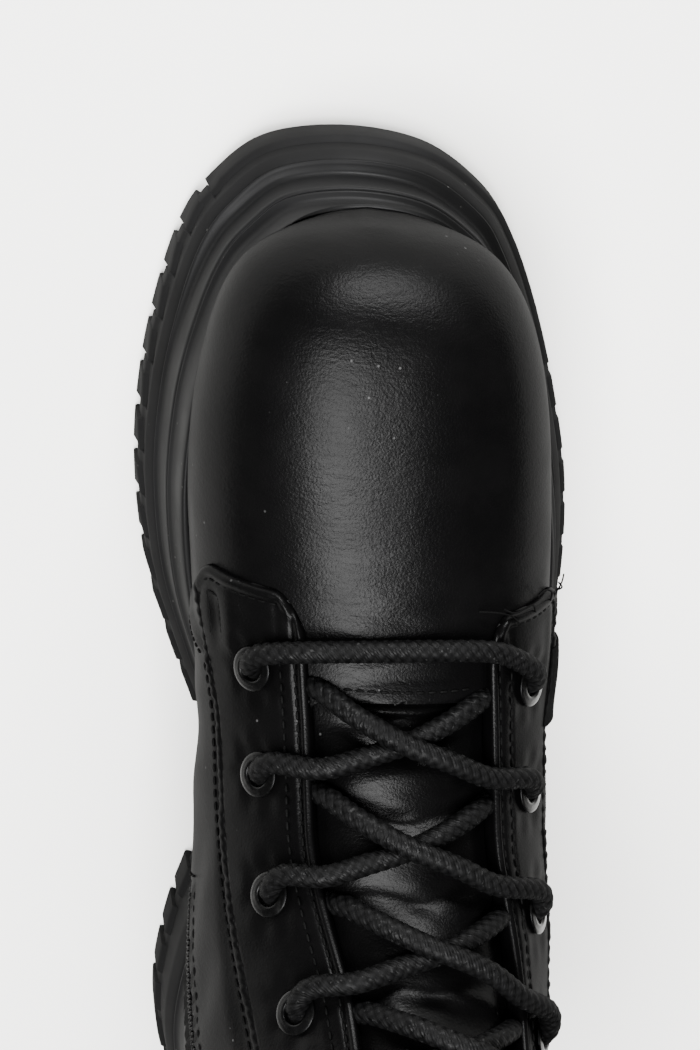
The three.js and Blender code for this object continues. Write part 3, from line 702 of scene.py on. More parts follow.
def cloth_look(name, tone, pitch, roughness=0.85):
    look = Shader(name, (tone, tone, tone), roughness, gloss=0.05)
    warp = look.math("SINE", look.math("MULTIPLY", look.noise(pitch * 60, 1, 0.4), 9.0))
    weave = look.cells(pitch * 1400)
    look.bump(weave, 0.5, 0.0003)
    look.bump(warp, 0.15, 0.0002)
    shade = look.spread(look.noise(90, 3), 0.35, 0.7)
    look.base(look.blend_colors(shade, (tone * 0.75,) * 3, (tone * 1.4,) * 3))
    return look.material


def lace_look():
    look = Shader("waxed_lace", (0.002, 0.002, 0.002), 0.5, gloss=0.09)
    strand = look.attribute("strand")
    yarn = look.attribute("yarn")
    fibre = look.noise(2600, 2, 0.6)
    look.bump(yarn, 0.45, 0.00022)
    look.bump(fibre, 0.2, 0.00012)
    look.rough(look.spread(look.noise(420, 3, 0.6), 0.3, 0.72, 0.36, 0.66))
    # Painted shade: the braid is coloured darker down in the grooves between its strands and
    # lighter on their crests.
    braid_color_with_painted_shade = look.blend_colors(strand, (0.0004, 0.0004, 0.0004), (0.0032, 0.0032, 0.0033))
    wax = look.spread(look.noise(900, 2, 0.5), 0.66, 0.74)
    look.base(look.blend_colors(look.math("MULTIPLY", wax, 0.35), braid_color_with_painted_shade, (0.03, 0.03, 0.03)))
    return look.material


def metal_look():
    look = Shader("black_metal", (0.004, 0.004, 0.004), 0.3, metallic=0.75, gloss=0.06)
    worn = look.spread(look.noise(240, 4, 0.65), 0.52, 0.72)
    look.base(look.blend_colors(worn, (0.003, 0.003, 0.0031), (0.011, 0.011, 0.0107)))
    look.rough(look.spread(look.noise(500, 3), 0.3, 0.7, 0.24, 0.4))
    look.bump(look.noise(900, 3), 0.08, 0.0002)
    return look.material


def thread_look():
    look = Shader("waxed_thread", (0.003, 0.003, 0.003), 0.55, gloss=0.05)
    ply_relief_and_shade = look.noise(2300, 2, 0.5)
    look.bump(ply_relief_and_shade, 0.5, 0.0002)
    # Painted shade: the thread is coloured darker where its ply bump is low.
    look.base(look.blend_colors(ply_relief_and_shade, (0.0006,) * 3, (0.003, 0.003, 0.003)))
    return look.material


UPPER_LEATHER = leather_look("upper_leather", 0.0009, 0.32)
FACING_LEATHER = leather_look("facing_leather", 0.0008, 0.31, 0.8)
TONGUE_LEATHER = leather_look("tongue_leather", 0.0007, 0.29, 0.9)
OUTSOLE_RUBBER = rubber_look("outsole_rubber", 0.0030, 0.60)
MIDSOLE_RUBBER = rubber_look("midsole_rubber", 0.0040, 0.45)
LINING = cloth_look("lining_cloth", 0.0025, 1.0)
TAPE = cloth_look("zip_tape", 0.0018, 1.3, 0.75)
LACE = lace_look()
METAL = metal_look()
THREAD = thread_look()
COIL = rubber_look("zip_coil", 0.002, 0.38)


# ------------------------------------------------------------------ geometry-node tools
def new_tree(name, sockets):
    tree = bpy.data.node_groups.new(name, "GeometryNodeTree")
    tree.interface.new_socket("Geometry", in_out="INPUT", socket_type="NodeSocketGeometry")
    for label, kind in sockets:
        tree.interface.new_socket(label, in_out="INPUT", socket_type=kind)
    tree.interface.new_socket("Geometry", in_out="OUTPUT", socket_type="NodeSocketGeometry")
    start = tree.nodes.new("NodeGroupInput")
    end = tree.nodes.new("NodeGroupOutput")
    return tree, start, end


def wire(tree, *runs):
    """Links each run's output to its input: node, output, node, input."""
    for source, output, sink, entry in runs:
        tree.links.new(source.outputs[output], sink.inputs[entry])


def end_tree(tree, start, end, last, output):
    realize = tree.nodes.new("GeometryNodeRealizeInstances")
    dress = tree.nodes.new("GeometryNodeSetMaterial")
    wire(tree, (last, output, realize, "Geometry"), (realize, "Geometry", dress, "Geometry"),
         (start, "Material", dress, "Material"), (dress, "Geometry", end, "Geometry"))
    return tree


def build_sweep_tree():
    """A round cord along a path, with its length and turn kept as attributes."""
    tree, start, end = new_tree("cord_along_path", [
        ("Radius", "NodeSocketFloat"), ("Step", "NodeSocketFloat"),
        ("Sides", "NodeSocketInt"), ("Material", "NodeSocketMaterial")])
    to_curve = tree.nodes.new("GeometryNodeMeshToCurve")
    even = tree.nodes.new("GeometryNodeResampleCurve")
    even.mode = "LENGTH"
    ring = tree.nodes.new("GeometryNodeCurvePrimitiveCircle")
    sweep = tree.nodes.new("GeometryNodeCurveToMesh")
    sweep.inputs["Fill Caps"].default_value = True
    kept = []
    for label, output in (("along", "Length"), ("around", "Factor")):
        keep = tree.nodes.new("GeometryNodeStoreNamedAttribute")
        keep.data_type = "FLOAT"
        keep.domain = "POINT"
        keep.inputs["Name"].default_value = label
        measure = tree.nodes.new("GeometryNodeSplineParameter")
        wire(tree, (measure, output, keep, "Value"))
        kept.append(keep)
    wire(tree, (start, "Geometry", to_curve, "Mesh"), (to_curve, "Curve", even, "Curve"),
         (start, "Step", even, "Length"), (even, "Curve", kept[0], "Geometry"),
         (start, "Sides", ring, "Resolution"), (start, "Radius", ring, "Radius"),
         (ring, "Curve", kept[1], "Geometry"), (kept[0], "Geometry", sweep, "Curve"),
         (kept[1], "Geometry", sweep, "Profile Curve"))
    return end_tree(tree, start, end, sweep, "Mesh")


def build_scatter_tree():
    """Copies of one small shape on points, turned to each point's along and outward."""
    tree, start, end = new_tree("copies_on_points", [
        ("Shape", "NodeSocketObject"), ("Size", "NodeSocketVector"),
        ("Material", "NodeSocketMaterial")])
    shape = tree.nodes.new("GeometryNodeObjectInfo")
    spread = tree.nodes.new("GeometryNodeInstanceOnPoints")
    turned = None
    for label, axis in (("outward", "Z"), ("along", "X")):
        read = tree.nodes.new("GeometryNodeInputNamedAttribute")
        read.data_type = "FLOAT_VECTOR"
        read.inputs["Name"].default_value = label
        turn = tree.nodes.new("FunctionNodeAlignRotationToVector")
        turn.axis = axis
        turn.pivot_axis = "AUTO" if turned is None else "Z"
        wire(tree, (read, "Attribute", turn, "Vector"))
        if turned is not None:
            wire(tree, (turned, "Rotation", turn, "Rotation"))
        turned = turn
    wire(tree, (start, "Shape", shape, "Object"), (start, "Geometry", spread, "Points"),
         (shape, "Geometry", spread, "Instance"), (turned, "Rotation", spread, "Rotation"),
         (start, "Size", spread, "Scale"))
    return end_tree(tree, start, end, spread, "Instances")


SWEEP = build_sweep_tree()
SCATTER = build_scatter_tree()


def run_tree(made, tree, inputs):
    """Adds the tree, sets its inputs by identifier and bakes the result to a plain mesh."""
    modifier = made.modifiers.new(tree.name, "NODES")
    modifier.node_group = tree
    named = {item.name: item.identifier for item in tree.interface.items_tree
             if item.in_out == "INPUT"}
    for label, value in inputs.items():
        modifier[named[label]] = value
    made.update_tag()
    graph = bpy.context.evaluated_depsgraph_get()
    baked = bpy.data.meshes.new_from_object(made.evaluated_get(graph))
    made.modifiers.clear()
    old = made.data
    made.data = baked
    baked.name = made.name
    bpy.data.meshes.remove(old)
    return made


def cord_object(name, paths, radius, step, sides, material):
    points, edges = [], []
    for path in paths:
        first = len(points)
        points += (np.asarray(path) / 1000).tolist()
        edges += [(first + k, first + k + 1) for k in range(len(path) - 1)]
    mesh = bpy.data.meshes.new(name)
    mesh.from_pydata(points, edges, [])
    made = bpy.data.objects.new(name, mesh)
    bpy.context.collection.objects.link(made)
    run_tree(made, SWEEP, {"Radius": radius / 1000, "Step": step / 1000, "Sides": sides,
                           "Material": material})
    made.data.shade_smooth()
    return made


def scatter_object(name, centres, alongs, outwards, shape, size, material):
    mesh = bpy.data.meshes.new(name)
    mesh.from_pydata((np.asarray(centres) / 1000).tolist(), [], [])
    for label, vectors in (("along", alongs), ("outward", outwards)):
        kept = mesh.attributes.new(label, "FLOAT_VECTOR", "POINT")
        kept.data.foreach_set("vector", np.asarray(vectors, np.float32).ravel())
    made = bpy.data.objects.new(name, mesh)
    bpy.context.collection.objects.link(made)
    run_tree(made, SCATTER, {"Shape": shape, "Size": size, "Material": material})
    made.data.shade_smooth()
    return made


def turned_shape(profile, sides):
    """A small turned shape round Z, from (radius, height) in millimetres."""
    cos, sin = circle(sides)
    points = np.vstack([np.stack([r * cos, r * sin, np.full(sides, z)], 1) for r, z in profile])
    return points, grid_faces(len(profile), sides, wrap=True).tolist()


def stitch_shape(name, bend=0.0):
    """A unit stitch along X: a small capsule whose ends dip into the leather."""
    sides, steps = 7, 6
    cos, sin = circle(sides)
    rings = []
    for k in range(steps + 1):
        t = -1 + 2 * k / steps
        thick = math.sqrt(max(1 - abs(t) ** 3, 0.02))
        lift = bend * (1 - t * t)
        rings.append(np.stack([np.full(sides, t * 0.5), cos * 0.5 * thick,
                               sin * 0.5 * thick + lift], 1))
    points, faces = ring_mesh(rings)
    made = make_object(name, points * 1000, faces, THREAD)
    return weld(made, 1e-4)


# ------------------------------------------------------------------ sole
def tier_rings(profile):
    rings = []
    for level, inset, toe in profile:
        depth = inset + toe * smooth(*TOE_TAPER, OUTLINE[:, 1])
        rings.append(on_sole(OUTLINE - OUTLINE_OUT * depth[:, None], level))
    return rings


def make_midsole():
    closed_piece("midsole_wall", ring_mesh(tier_rings(MIDSOLE_PROFILE)), MIDSOLE_RUBBER,
                 ["midsole"])


def upper_inset(level):
    """How far in from the ground outline the upper is, at one level of the sole."""
    r, share = pairs(np.arange(0.2, 226, 0.8), np.linspace(0.4, 1, 90))
    spots = [skin(r, keel_arc(r, side) * share * side).reshape(-1, 3) for side in (1, -1)]
    x, y, z = np.vstack(spots).T
    x, f = x + SOLE_MIDDLE_X, SOLE_LENGTH / 2 - y
    near = np.column_stack([x, f])[np.abs(z - level_height(f, level)) < 0.7]
    found = np.full(len(OUTLINE), np.nan)
    for k in range(len(OUTLINE)):
        gap = OUTLINE[k] - near
        along = gap @ OUTLINE_OUT[k]
        aside = np.abs(gap @ np.array([-OUTLINE_OUT[k][1], OUTLINE_OUT[k][0]]))
        beside = along[(aside < 2.0) & (along > 0) & (along < 30)]
        if len(beside):
            found[k] = beside.min()
    known = np.flatnonzero(~np.isnan(found))
    found = np.interp(np.arange(len(found)), known, found[known], period=len(found))
    wrapped = np.concatenate([found[-4:], found, found[:4]])
    return np.convolve(wrapped, np.full(9, 1 / 9), "valid")


def make_welt():
    """The lip that the upper sits in: its inner side follows the leather."""
    reach = {level: upper_inset(level) for level in (44.1, 42.6, 41, 39.4)}
    inner = []
    for level, use, gap in ((36.6, 39.4, 1.5), (37.4, 39.4, 0.1), (39.4, 39.4, -0.15),
                            (41, 41, -0.25), (42.6, 42.6, -0.35), (43.7, 44.1, -0.5),
                            (44.15, 44.1, -0.85)):
        inner.append(on_sole(OUTLINE - OUTLINE_OUT * (reach[use] + gap)[:, None], level))
    closed_piece("welt_lip", ring_mesh(inner + tier_rings(WELT_PROFILE)), MIDSOLE_RUBBER,
                 ["welt"])


def outsole_columns():
    """Places round the outline, with 1 where the ground lugs are and 0 between them."""
    closed = np.vstack([OUTLINE, OUTLINE[:1]])
    lengths = lengths_along(closed)
    count = round(lengths[-1] / LUG_PITCH)
    pitch = lengths[-1] / count
    half = LUG_WIDTH / 2
    steps = [(-pitch / 2, 0), (-half - 0.15, 0), (-half + 0.15, 1), (-half / 2, 1), (0, 1),
             (half / 2, 1), (half - 0.15, 1), (half + 0.15, 0)]
    at, lug, saw = [], [], []
    for k in range(count):
        for step, flag in steps:
            at.append((k + 0.5) * pitch + step)
            lug.append(flag)
            saw.append(0.5 - step / (2 * half))
    at = np.array(at) % lengths[-1]
    edge = np.stack([np.interp(at, lengths, closed[:, k]) for k in range(2)], 1)
    return edge, outline_normals(edge), np.array(lug, float), np.clip(saw, 0, 1)


def make_outsole():
    """The lugged plate, ring by ring from the top down, with its tread bars underneath."""
    edge, out, lug, saw = outsole_columns()
    f = edge[:, 1]
    in_arch = (f > ARCH[0] - 1) & (f < ARCH[3] - 10)
    medial_rim = edge[:, 0] > MEDIAL_RIM_OUT
    rim_from = np.where(medial_rim, MEDIAL_RIM_FROM, TOE_RIM_FROM)
    lug = np.where(f > rim_from, 1, np.where(in_arch, 0, lug))
    lateral = edge[:, 0] < 0
    rings = []

    def ring(inset, height):
        spot = edge - out * np.broadcast_to(inset, f.shape)[:, None]
        rings.append(place(spot[:, 0], spot[:, 1], height))

    for level, inset, toe in OUTSOLE_PROFILE:
        ring(inset + toe * smooth(*TOE_TAPER, f), level_height(f, level))
    toothed = medial_rim & (f < MEDIAL_RIM_FROM)
    tooth = saw * SAW_DEPTH * toothed * smooth(ARCH[3], ARCH[3] + 30, f)
    shallow = (lateral & (f > ARCH[3])) | (f > SHALLOW_FROM)
    top = level_height(f, 13.4)
    ground = ground_height(f)
    rim = ((11.6, 1.7, 1.7), (10.9, 0.5, 1.3), (10.2, 0.12, 1.1), (5.6, 0.1, 0.9), (5.0, 0.1, 1.1))
    for k, (height, lug_inset, gap_inset) in enumerate(rim):
        z = np.minimum(ground + height, top - 0.5 * k)
        gaps = np.where(shallow, lerp(lug_inset, gap_inset, 0.4), gap_inset)
        ring(np.where(lug > 0, lug_inset + tooth, gaps), z)
    foot = np.minimum(ground + LUG_DEPTH, top - 2.5)
    for lug_inset, lug_height in ((0.15, 0.7), (0.8, 0.0), (14.4, 0.0), (15.0, 0.6), (15.2, 4.9)):
        drop = np.where(lug > 0, ground + lug_height, foot)
        ring(np.where(lug > 0, lug_inset, max(lug_inset, 2.0)), drop)
    points, faces = ring_mesh(rings)
    points = list(points)
    for row in TREAD_BARS:
        medial, lateral = outline_widths(OUTLINE - OUTLINE_OUT * 19, row)
        if medial - lateral < 14:
            continue
        first = len(points)
        for height, shrink in ((0.5, 0.0), (0.0, 0.5), (6.0, 0.0)):
            for x, step in ((lateral, -1), (medial, -1), (medial, 1), (lateral, 1)):
                spot = row + step * (TREAD_BAR_HALF - shrink)
                reach = x - shrink * np.sign(x)
                points.append(place(reach, spot, ground_height(spot) + height))
        a, b, c = (np.arange(4) + first + 4 * k for k in (1, 0, 2))
        faces.append(list(a))
        faces.append(list(c[::-1]))
        for k in range(4):
            n = (k + 1) % 4
            faces.append([a[k], b[k], b[n], a[n]])
            faces.append([b[k], c[k], c[n], b[n]])
    made = weld(make_object("outsole_tread", np.array(points), faces, OUTSOLE_RUBBER))
    made.data.set_sharp_from_angle(angle=math.radians(42))
    return finish_piece(made, ["outsole"])


def make_insole():
    edge = OUTLINE - OUTLINE_OUT * FOOTBED_INSET
    f = edge[:, 1]
    middle = np.stack([np.zeros(len(edge)), f], 1)
    rings = []
    for share, lift in ((0.97, -3.0), (1, -2.2), (1, 2.6), (0.985, 3.4), (0.95, 3.9), (0.8, 4.1),
                        (0.6, 4.1), (0.4, 4.1), (0.2, 4.1)):
        spot = lerp(middle, edge, share)
        spot[:, 1] = lerp(SOLE_LENGTH / 2, spot[:, 1], 0.5 + 0.5 * share)
        rings.append(on_sole(spot, FOREFOOT_HEIGHT, lift))
    closed_piece("footbed", ring_mesh(rings), LINING, ["insole"])


# ------------------------------------------------------------------ upper
def upper_rows():
    """r of the upper's rows: close at the toe, the throat's front and the rim."""
    opening = THROAT_FRONT + np.array([0, 0.02, 0.1, 0.35, 0.8, 1.5, 2.6, 4.0, 5.8, 7.8])
    front = np.concatenate([np.linspace(0, 8, 11), np.arange(9.2, THROAT_FRONT - 0.8, 1.25)])
    rear = np.arange(THROAT_FRONT + 10, RIDGE_LENGTH - 1.2, 1.3)
    rim = RIDGE_LENGTH - np.array([1.1, 0.6, 0.25, 0.0])
    return np.concatenate([front, opening, rear, rim])


def make_upper():
    """Both halves of the shell, outer and inner side, walled at the keel, throat and rim."""
    rows = upper_rows()
    count = UPPER_COLUMNS
    n, m = len(rows), count + 1
    layer = n * m
    half = 2 * layer
    points, faces, lined = [], [], []

    def wall(b, c):
        faces.append([b, c, c + layer, b + layer])

    for side in (1, -1):
        edge = np.where(rows > THROAT_FRONT, throat_half(rows) * side + throat_middle(rows), 0.0)
        keel = keel_arc(rows, side) * side
        a = edge[:, None] + (keel - edge)[:, None] * np.linspace(0, 1, m)[None]
        r = np.repeat(rows[:, None], m, 1)
        rim = np.clip((RIDGE_LENGTH - r) / 1.1, 0, 1)
        round_over = np.sqrt(np.clip(1 - (1 - rim) ** 2, 0, 1))
        outside = skin(r, a, -WALL / 2 + (WALL / 2 + upper_relief(r, a)) * round_over)
        inside = skin(r, a, -WALL / 2 - WALL / 2 * round_over)
        start = len(points)
        points += list(outside.reshape(-1, 3)) + list(inside.reshape(-1, 3))
        faces += grid_faces(n, m, start, flip=side < 0).tolist()
        first_lined = len(faces)
        faces += grid_faces(n, m, start + layer, flip=side > 0).tolist()
        lined += range(first_lined, len(faces))
        for i in range(n - 1):
            b = start + i * m
            if rows[i] >= THROAT_FRONT:
                wall(b, b + m)
            wall(b + count, b + count + m)
        for b in range(start + (n - 1) * m, start + (n - 1) * m + count):
            wall(b, b + 1)
    for first in (0, layer):
        for b in range(first, first + count):
            faces.append([b, b + 1, half + b + 1, half + b])
    faces.append([count, count + layer, half + count + layer, half + count])
    made = make_object("boot_upper", np.array(points), faces, UPPER_LEATHER)
    made.data.materials.append(LINING)
    slots = np.zeros(len(faces), np.int32)
    slots[lined] = 1
    made.data.polygons.foreach_set("material_index", slots)
    finish_piece(weld(made, 4e-6), ["upper"])


EYELETS = []
for eyelet_side in (1, -1):
    for eyelet_row in range(EYELET_ROWS):
        at = EYELET_FIRST + EYELET_PITCH * eyelet_row + (0 if eyelet_side > 0 else 3.5)
        EYELETS.append((eyelet_side, eyelet_row, at,
                        float(throat_middle(at)) + eyelet_side * EYELET_SIDE))


def make_facing(side):
    """A lacing panel: a rolled front and throat edge, pulled in by stitches and eyelets."""
    s = np.concatenate([np.array([0, 0.15, 0.5, 1.0, 1.6, 2.3, 3.1, 4.0]) / 184,
                        np.linspace(5.2 / 184, 1, 170)])
    t = np.concatenate([np.linspace(0, 0.16, 12), np.linspace(0.18, 0.94, 26), [0.965, 0.985, 1]])
    grid_s, grid_t = pairs(s, t)
    r, a = facing_place(side, grid_s, grid_t)
    front_r = facing_place(side, np.zeros_like(grid_t), grid_t)[0]
    slope = np.gradient(front_r[0], a[0])[None]
    from_front = (r - front_r) / np.sqrt(1 + slope ** 2)
    from_throat = (a - throat_middle(r)) * side - THROAT_HALF_WIDTH
    outer_reach = np.abs(seam_place(side, r) - a)

    def roll(distance, radius):
        t = np.clip(distance / radius, 0, 1)
        return np.sqrt(np.clip(1 - (1 - t) ** 2, 0, 1))

    body = roll(from_front, 1.2) * roll(outer_reach, 1.0)
    shape = FACING * body
    shape = shape + 0.75 * bell(from_throat - 1.1, 0.85)
    shape = shape - 0.45 * bell(from_throat - 2.7, 0.55)
    shape = shape - 0.30 * bell(from_throat - 6.2, 0.5)
    shape = shape + 0.45 * bell(from_front - 1.3, 1.1) * smooth(1, 4, from_throat)
    shape = shape - 0.40 * bell(from_front - 3.3, 0.55) * smooth(4, 6, from_throat)
    shape = shape + folds(FACING_FOLDS, r, a)
    for _, row, at_r, at_a in [e for e in EYELETS if e[0] == side]:
        gap = np.hypot(r - at_r, a - at_a)
        shape = shape - 0.5 * bell(gap - 4.8, 2.6)
        angle = np.arctan2(a - at_a, r - at_r)
        shape = shape + 0.16 * np.sin(angle * 7 + row) * bell(gap - 7.5, 2.0)
    tack_r, tack_a = CORNER_TACKS[side]
    shape = shape - 0.9 * bell(np.hypot((r - tack_r) / 6.0, (a - tack_a) / 2.0), 1)
    beside = np.hypot((r - tack_r) / 8.0, (a - tack_a + side * 5.5) / 2.2)
    shape = shape + 0.5 * bell(beside, 1)
    relief = upper_relief(r, a) * smooth(40, 50, np.abs(a))
    under = np.full_like(r, GAP * 0.5) + relief * 0.6
    top = GAP * 0.5 + np.maximum(shape, 0.0) + relief * 0.6
    outside = skin(r, a, top)
    inside = skin(r, a, under)
    lip_rows = []
    settled = np.clip(from_front[:, 0] / 1.5, 0, 1)
    for inset, depth in ((0.0, 1.0), (-0.1, -0.2), (0.0, -1.6), (0.35, -2.3), (0.95, -2.4),
                         (1.3, -1.6), (1.4, -0.2)):
        lip = np.minimum(depth, top[:, 0]) * settled
        lip_rows.append(skin(r[:, 0], a[:, 0] + side * inset, lip))
    rings = np.concatenate([outside, inside[:, ::-1][:, :-1], np.stack(lip_rows[::-1], 1)], 1)
    name = side_name(side)
    closed_piece(f"lacing_panel_{name}", ring_mesh(rings), FACING_LEATHER,
                 [f"facing_{name}"])


def strip_along(r, a, half_width, height, base, seed, pull=2.8):
    """A thick folded edge along a seam, pulled in by its stitches. Points and faces."""
    along = skin(r, a)
    lengths = lengths_along(along)
    slope_r, slope_a = np.gradient(r), np.gradient(a)
    norm = np.hypot(slope_r, slope_a)
    across_r, across_a = -slope_a / norm, slope_r / norm
    puff = 0.9 + 0.08 * np.cos(lengths / pull * 2 * math.pi) + 0.14 * wander(lengths * 3, seed)
    sway = 0.35 * wander(lengths * 1.7, seed + 5)
    ends = np.minimum(lengths, lengths[-1] - lengths)
    taper = np.sqrt(np.clip(ends / 1.5, 0.02, 1))
    rings = []
    for k in range(14):
        angle = k / 14 * 2 * math.pi
        reach = half_width * math.cos(angle) * (0.85 + 0.15 * puff) * taper + sway
        rise = math.sin(angle)
        lift = base + height * (rise if rise > 0 else 0.3 * rise) * puff * taper
        rings.append(skin(r + across_r * reach, a + across_a * reach, lift))
    return ring_mesh(np.stack(rings, 1))


def make_seam_edges(side):
    """The folded edge that stands along a side seam."""
    front = 104 if side > 0 else 109
    r = np.linspace(front, RIDGE_LENGTH - 3, 460)
    a = seam_place(side, r) + side * 0.3
    base = 0.5 + 0.6 * upper_relief(r, a)
    closed_piece(f"seam_edge_{side_name(side)}", strip_along(r, a, 1.75, 1.7, base, 3 + side),
                 FACING_LEATHER)


# ------------------------------------------------------------------ tongue
def make_tongue():
    """The padded tongue, under the leather and a little over the collar."""
    under = -WALL - 2 * GAP - 0.4
    first = THROAT_FRONT - 8
    s = np.linspace(0, 1, 190)
    lifts = np.array([1.5, 3, 4.5, 6, 7.2, 8.2])
    t = np.linspace(0, 1, 56)
    grid_s, grid_t = pairs(s, t)
    r = lerp(first, RIDGE_LENGTH - 0.5, grid_s)
    a = throat_middle(r) + TONGUE_HALF_WIDTH * (1 - 2 * grid_t)
    from_edge = smooth(0.02, 0.32, grid_t) * (1 - smooth(0.68, 0.98, grid_t))
    shown = smooth(0.06, 0.14, grid_s)
    pad = 2.2 * from_edge * shown + folds(TONGUE_FOLDS, r, a) * from_edge
    seam = 0.5 * bell(r - THROAT_FRONT - 2.2, 0.9)
    top = under + np.minimum(pad + seam, 3.0)
    edge = np.minimum(grid_t, 1 - grid_t) * 2 * TONGUE_HALF_WIDTH
    thin = np.sqrt(np.clip(1 - (1 - np.clip(edge / 1.6, 0, 1)) ** 2, 0.0, 1))
    middle = under - TONGUE_THICKNESS / 2
    outside = skin(r, a, middle + (top - middle) * thin)
    inside = skin(r, a, middle - TONGUE_THICKNESS / 2 * thin)
    layers_out, layers_in = [outside], [inside]
    for lift in lifts:
        round_over = math.sqrt(max(1 - (max(lift - 5.5, 0) / 2.72) ** 2, 0.0))
        centre = (outside[-1] + inside[-1]) / 2
        shift = np.array([0, 1.5 * lift / 9, lift])
        layers_out.append((centre + (outside[-1] - centre) * round_over + shift)[None])
        layers_in.append((centre + (inside[-1] - centre) * round_over + shift)[None])
    outside, inside = np.concatenate(layers_out), np.concatenate(layers_in)
    made = closed_piece("padded_tongue", sheet_mesh(outside, inside), TONGUE_LEATHER,
                        ["tongue"])


# ------------------------------------------------------------------ laces and eyelets
def make_eyelets():
    profile = [(2.75, -3.4), (3.3, -3.4), (3.35, -1.0), (3.4, -0.1), (4.9, -0.05), (5.25, 0.15),
               (5.3, 0.4), (5.1, 0.62), (4.5, 0.72), (3.9, 0.86), (3.4, 0.98), (3.05, 0.9),
               (2.82, 0.6), (2.72, 0.1), (2.7, -1.2), (2.75, -3.4)]
    shape = weld(make_object("eyelet_shape", *turned_shape(profile, 40), METAL))
    r, a = np.array(EYELETS)[:, 2:].T
    centre, normal = surface(r, a)
    ahead = skin(r + 1, a) - centre
    made = scatter_object("eyelet_rings", centre + normal * (FACING_TOP - 0.35), ahead, normal,
                          shape, (1, 1, 1), METAL)
    bpy.data.objects.remove(shape)
    nodes = [f"eyelet_{side_name(side)}_{row + 1}" for side, row, _, _ in EYELETS]
    finish_piece(made, nodes)


def eased(knots, count):
    """An even curve through knots of r, a and d."""
    knots = np.asarray(knots, float)
    ends = np.vstack([2 * knots[0] - knots[1], knots, 2 * knots[-1] - knots[-2]])
    t = np.linspace(0, 1, 12, endpoint=False)[:, None]
    runs = [catmull(ends[i], ends[i + 1], ends[i + 2], ends[i + 3], t)
            for i in range(len(knots) - 1)]
    path = np.vstack([*runs, knots[-1:]])
    points = skin(path[:, 0], path[:, 1], path[:, 2])
    return resample(points, count)[0]


def lace_bar():
    (near_r, near_a), (far_r, far_a) = EYELETS[0][2:], EYELETS[EYELET_ROWS][2:]
    return eased([
        (near_r + 1.5, near_a - 1.0, -7), (near_r + 0.4, near_a, -1.5),
        (near_r - 1.2, near_a - 0.5, 2.8), (near_r - 5.2, near_a - 4.5, LACE_OVER + 0.4),
        (110.6, 21, LACE_OVER + 0.5), (109.2, 8, LACE_OVER - 0.6), (108.8, -8, LACE_OVER - 0.6),
        (110.4, -21, LACE_OVER + 0.6), (far_r - 5.5, far_a + 4.5, LACE_OVER + 0.6),
        (far_r - 1.2, far_a + 0.2, 2.8), (far_r + 0.4, far_a, -1.5), (far_r + 1.5, far_a + 1.0, -7),
    ], 150)


def lace_strand(i, side, over):
    """From under one lacing panel, over the tongue and into the next eyelet across."""
    start = EYELET_FIRST + EYELET_PITCH * i + (1.0 if side > 0 else 3.5)
    target = EYELETS[(EYELET_ROWS if side > 0 else 0) + i + 1]
    middle = float(throat_middle(start + 10))
    lift = 3.1 if over else 0.0
    end_r, end_a = target[2], target[3]
    reach = THROAT_HALF_WIDTH
    return eased([
        (start - 1.5, middle + side * (reach + 7), -4.2),
        (start - 0.6, middle + side * (reach + 1.5), -1.9),
        (start + 0.8, middle + side * (reach - 4), 0.4 + lift * 0.3),
        (lerp(start, end_r, 0.2), middle + side * 10, 1.4 + lift * 0.9),
        (lerp(start, end_r, 0.4), middle + side * 1, 1.7 + lift),
        (lerp(start, end_r, 0.58), middle - side * 9, 2.2 + lift * 0.9),
        (lerp(start, end_r, 0.76), middle - side * (reach - 3), LACE_OVER - 0.3),
        (end_r - 4.4, end_a + side * 6.5, LACE_OVER + 0.5),
        (end_r - 1.3, end_a + side * 1.6, 3.4),
        (end_r + 0.3, end_a, -1.0),
        (end_r + 1.2, end_a - side * 0.6, -6.5),
    ], 150)


def braid_relief(along, around):
    """Height of a round braid from 0 to 1, and the yarns that lie along its strands."""
    u = along / BRAID_PITCH + around * BRAID_STRANDS / 2
    v = along / BRAID_PITCH - around * BRAID_STRANDS / 2
    even = (np.floor(u) + np.floor(v)) % 2 < 0.5
    fu, fv = u % 1, v % 1
    across = np.where(even, fu, fv)
    down = np.where(even, fv, fu)
    height = np.sin(math.pi * across) ** 0.7 * (0.55 + 0.45 * np.sin(math.pi * down))
    yarn = 0.5 + 0.5 * np.cos(across * 3 * 2 * math.pi)
    return height, yarn


def read_numbers(layer, key, count):
    store = np.zeros(count, np.float32)
    layer.foreach_get(key, store)
    return store


def drop_attributes(mesh, labels=("along", "around")):
    for label in labels:
        mesh.attributes.remove(mesh.attributes[label])


def make_laces():
    pieces = [("lace_bar", [lace_bar()], ["lace_bar_1"])]
    for i in range(EYELET_ROWS - 1):
        strands = [lace_strand(i, 1, True), lace_strand(i, -1, False)]
        pieces.append((f"lace_crossing_{i + 1}", strands, [f"lace_cross_{i + 1}"]))
    for name, paths, nodes in pieces:
        made = cord_object(name, paths, LACE_RADIUS, LACE_STEP, LACE_SIDES, LACE)
        mesh = made.data
        count = len(mesh.vertices)
        along, around = (read_numbers(mesh.attributes[label].data, "value", count).astype(float)
                         for label in ("along", "around"))
        height, yarn = braid_relief(along * 1000, around)
        normals = read_numbers(mesh.vertex_normals, "vector", count * 3)
        spots = read_numbers(mesh.vertices, "co", count * 3)
        spots = spots + normals * np.repeat((height - 0.5) * BRAID_HEIGHT / 1000, 3)
        mesh.vertices.foreach_set("co", spots.astype(np.float32))
        # The braid's height is also kept to paint shade into its grooves.
        for label, numbers in (("strand", height), ("yarn", yarn)):
            kept = mesh.attributes.new(label, "FLOAT", "POINT")
            kept.data.foreach_set("value", numbers.astype(np.float32))
        drop_attributes(mesh)
        mesh.update()
        mesh.shade_smooth()
        finish_piece(made, nodes)


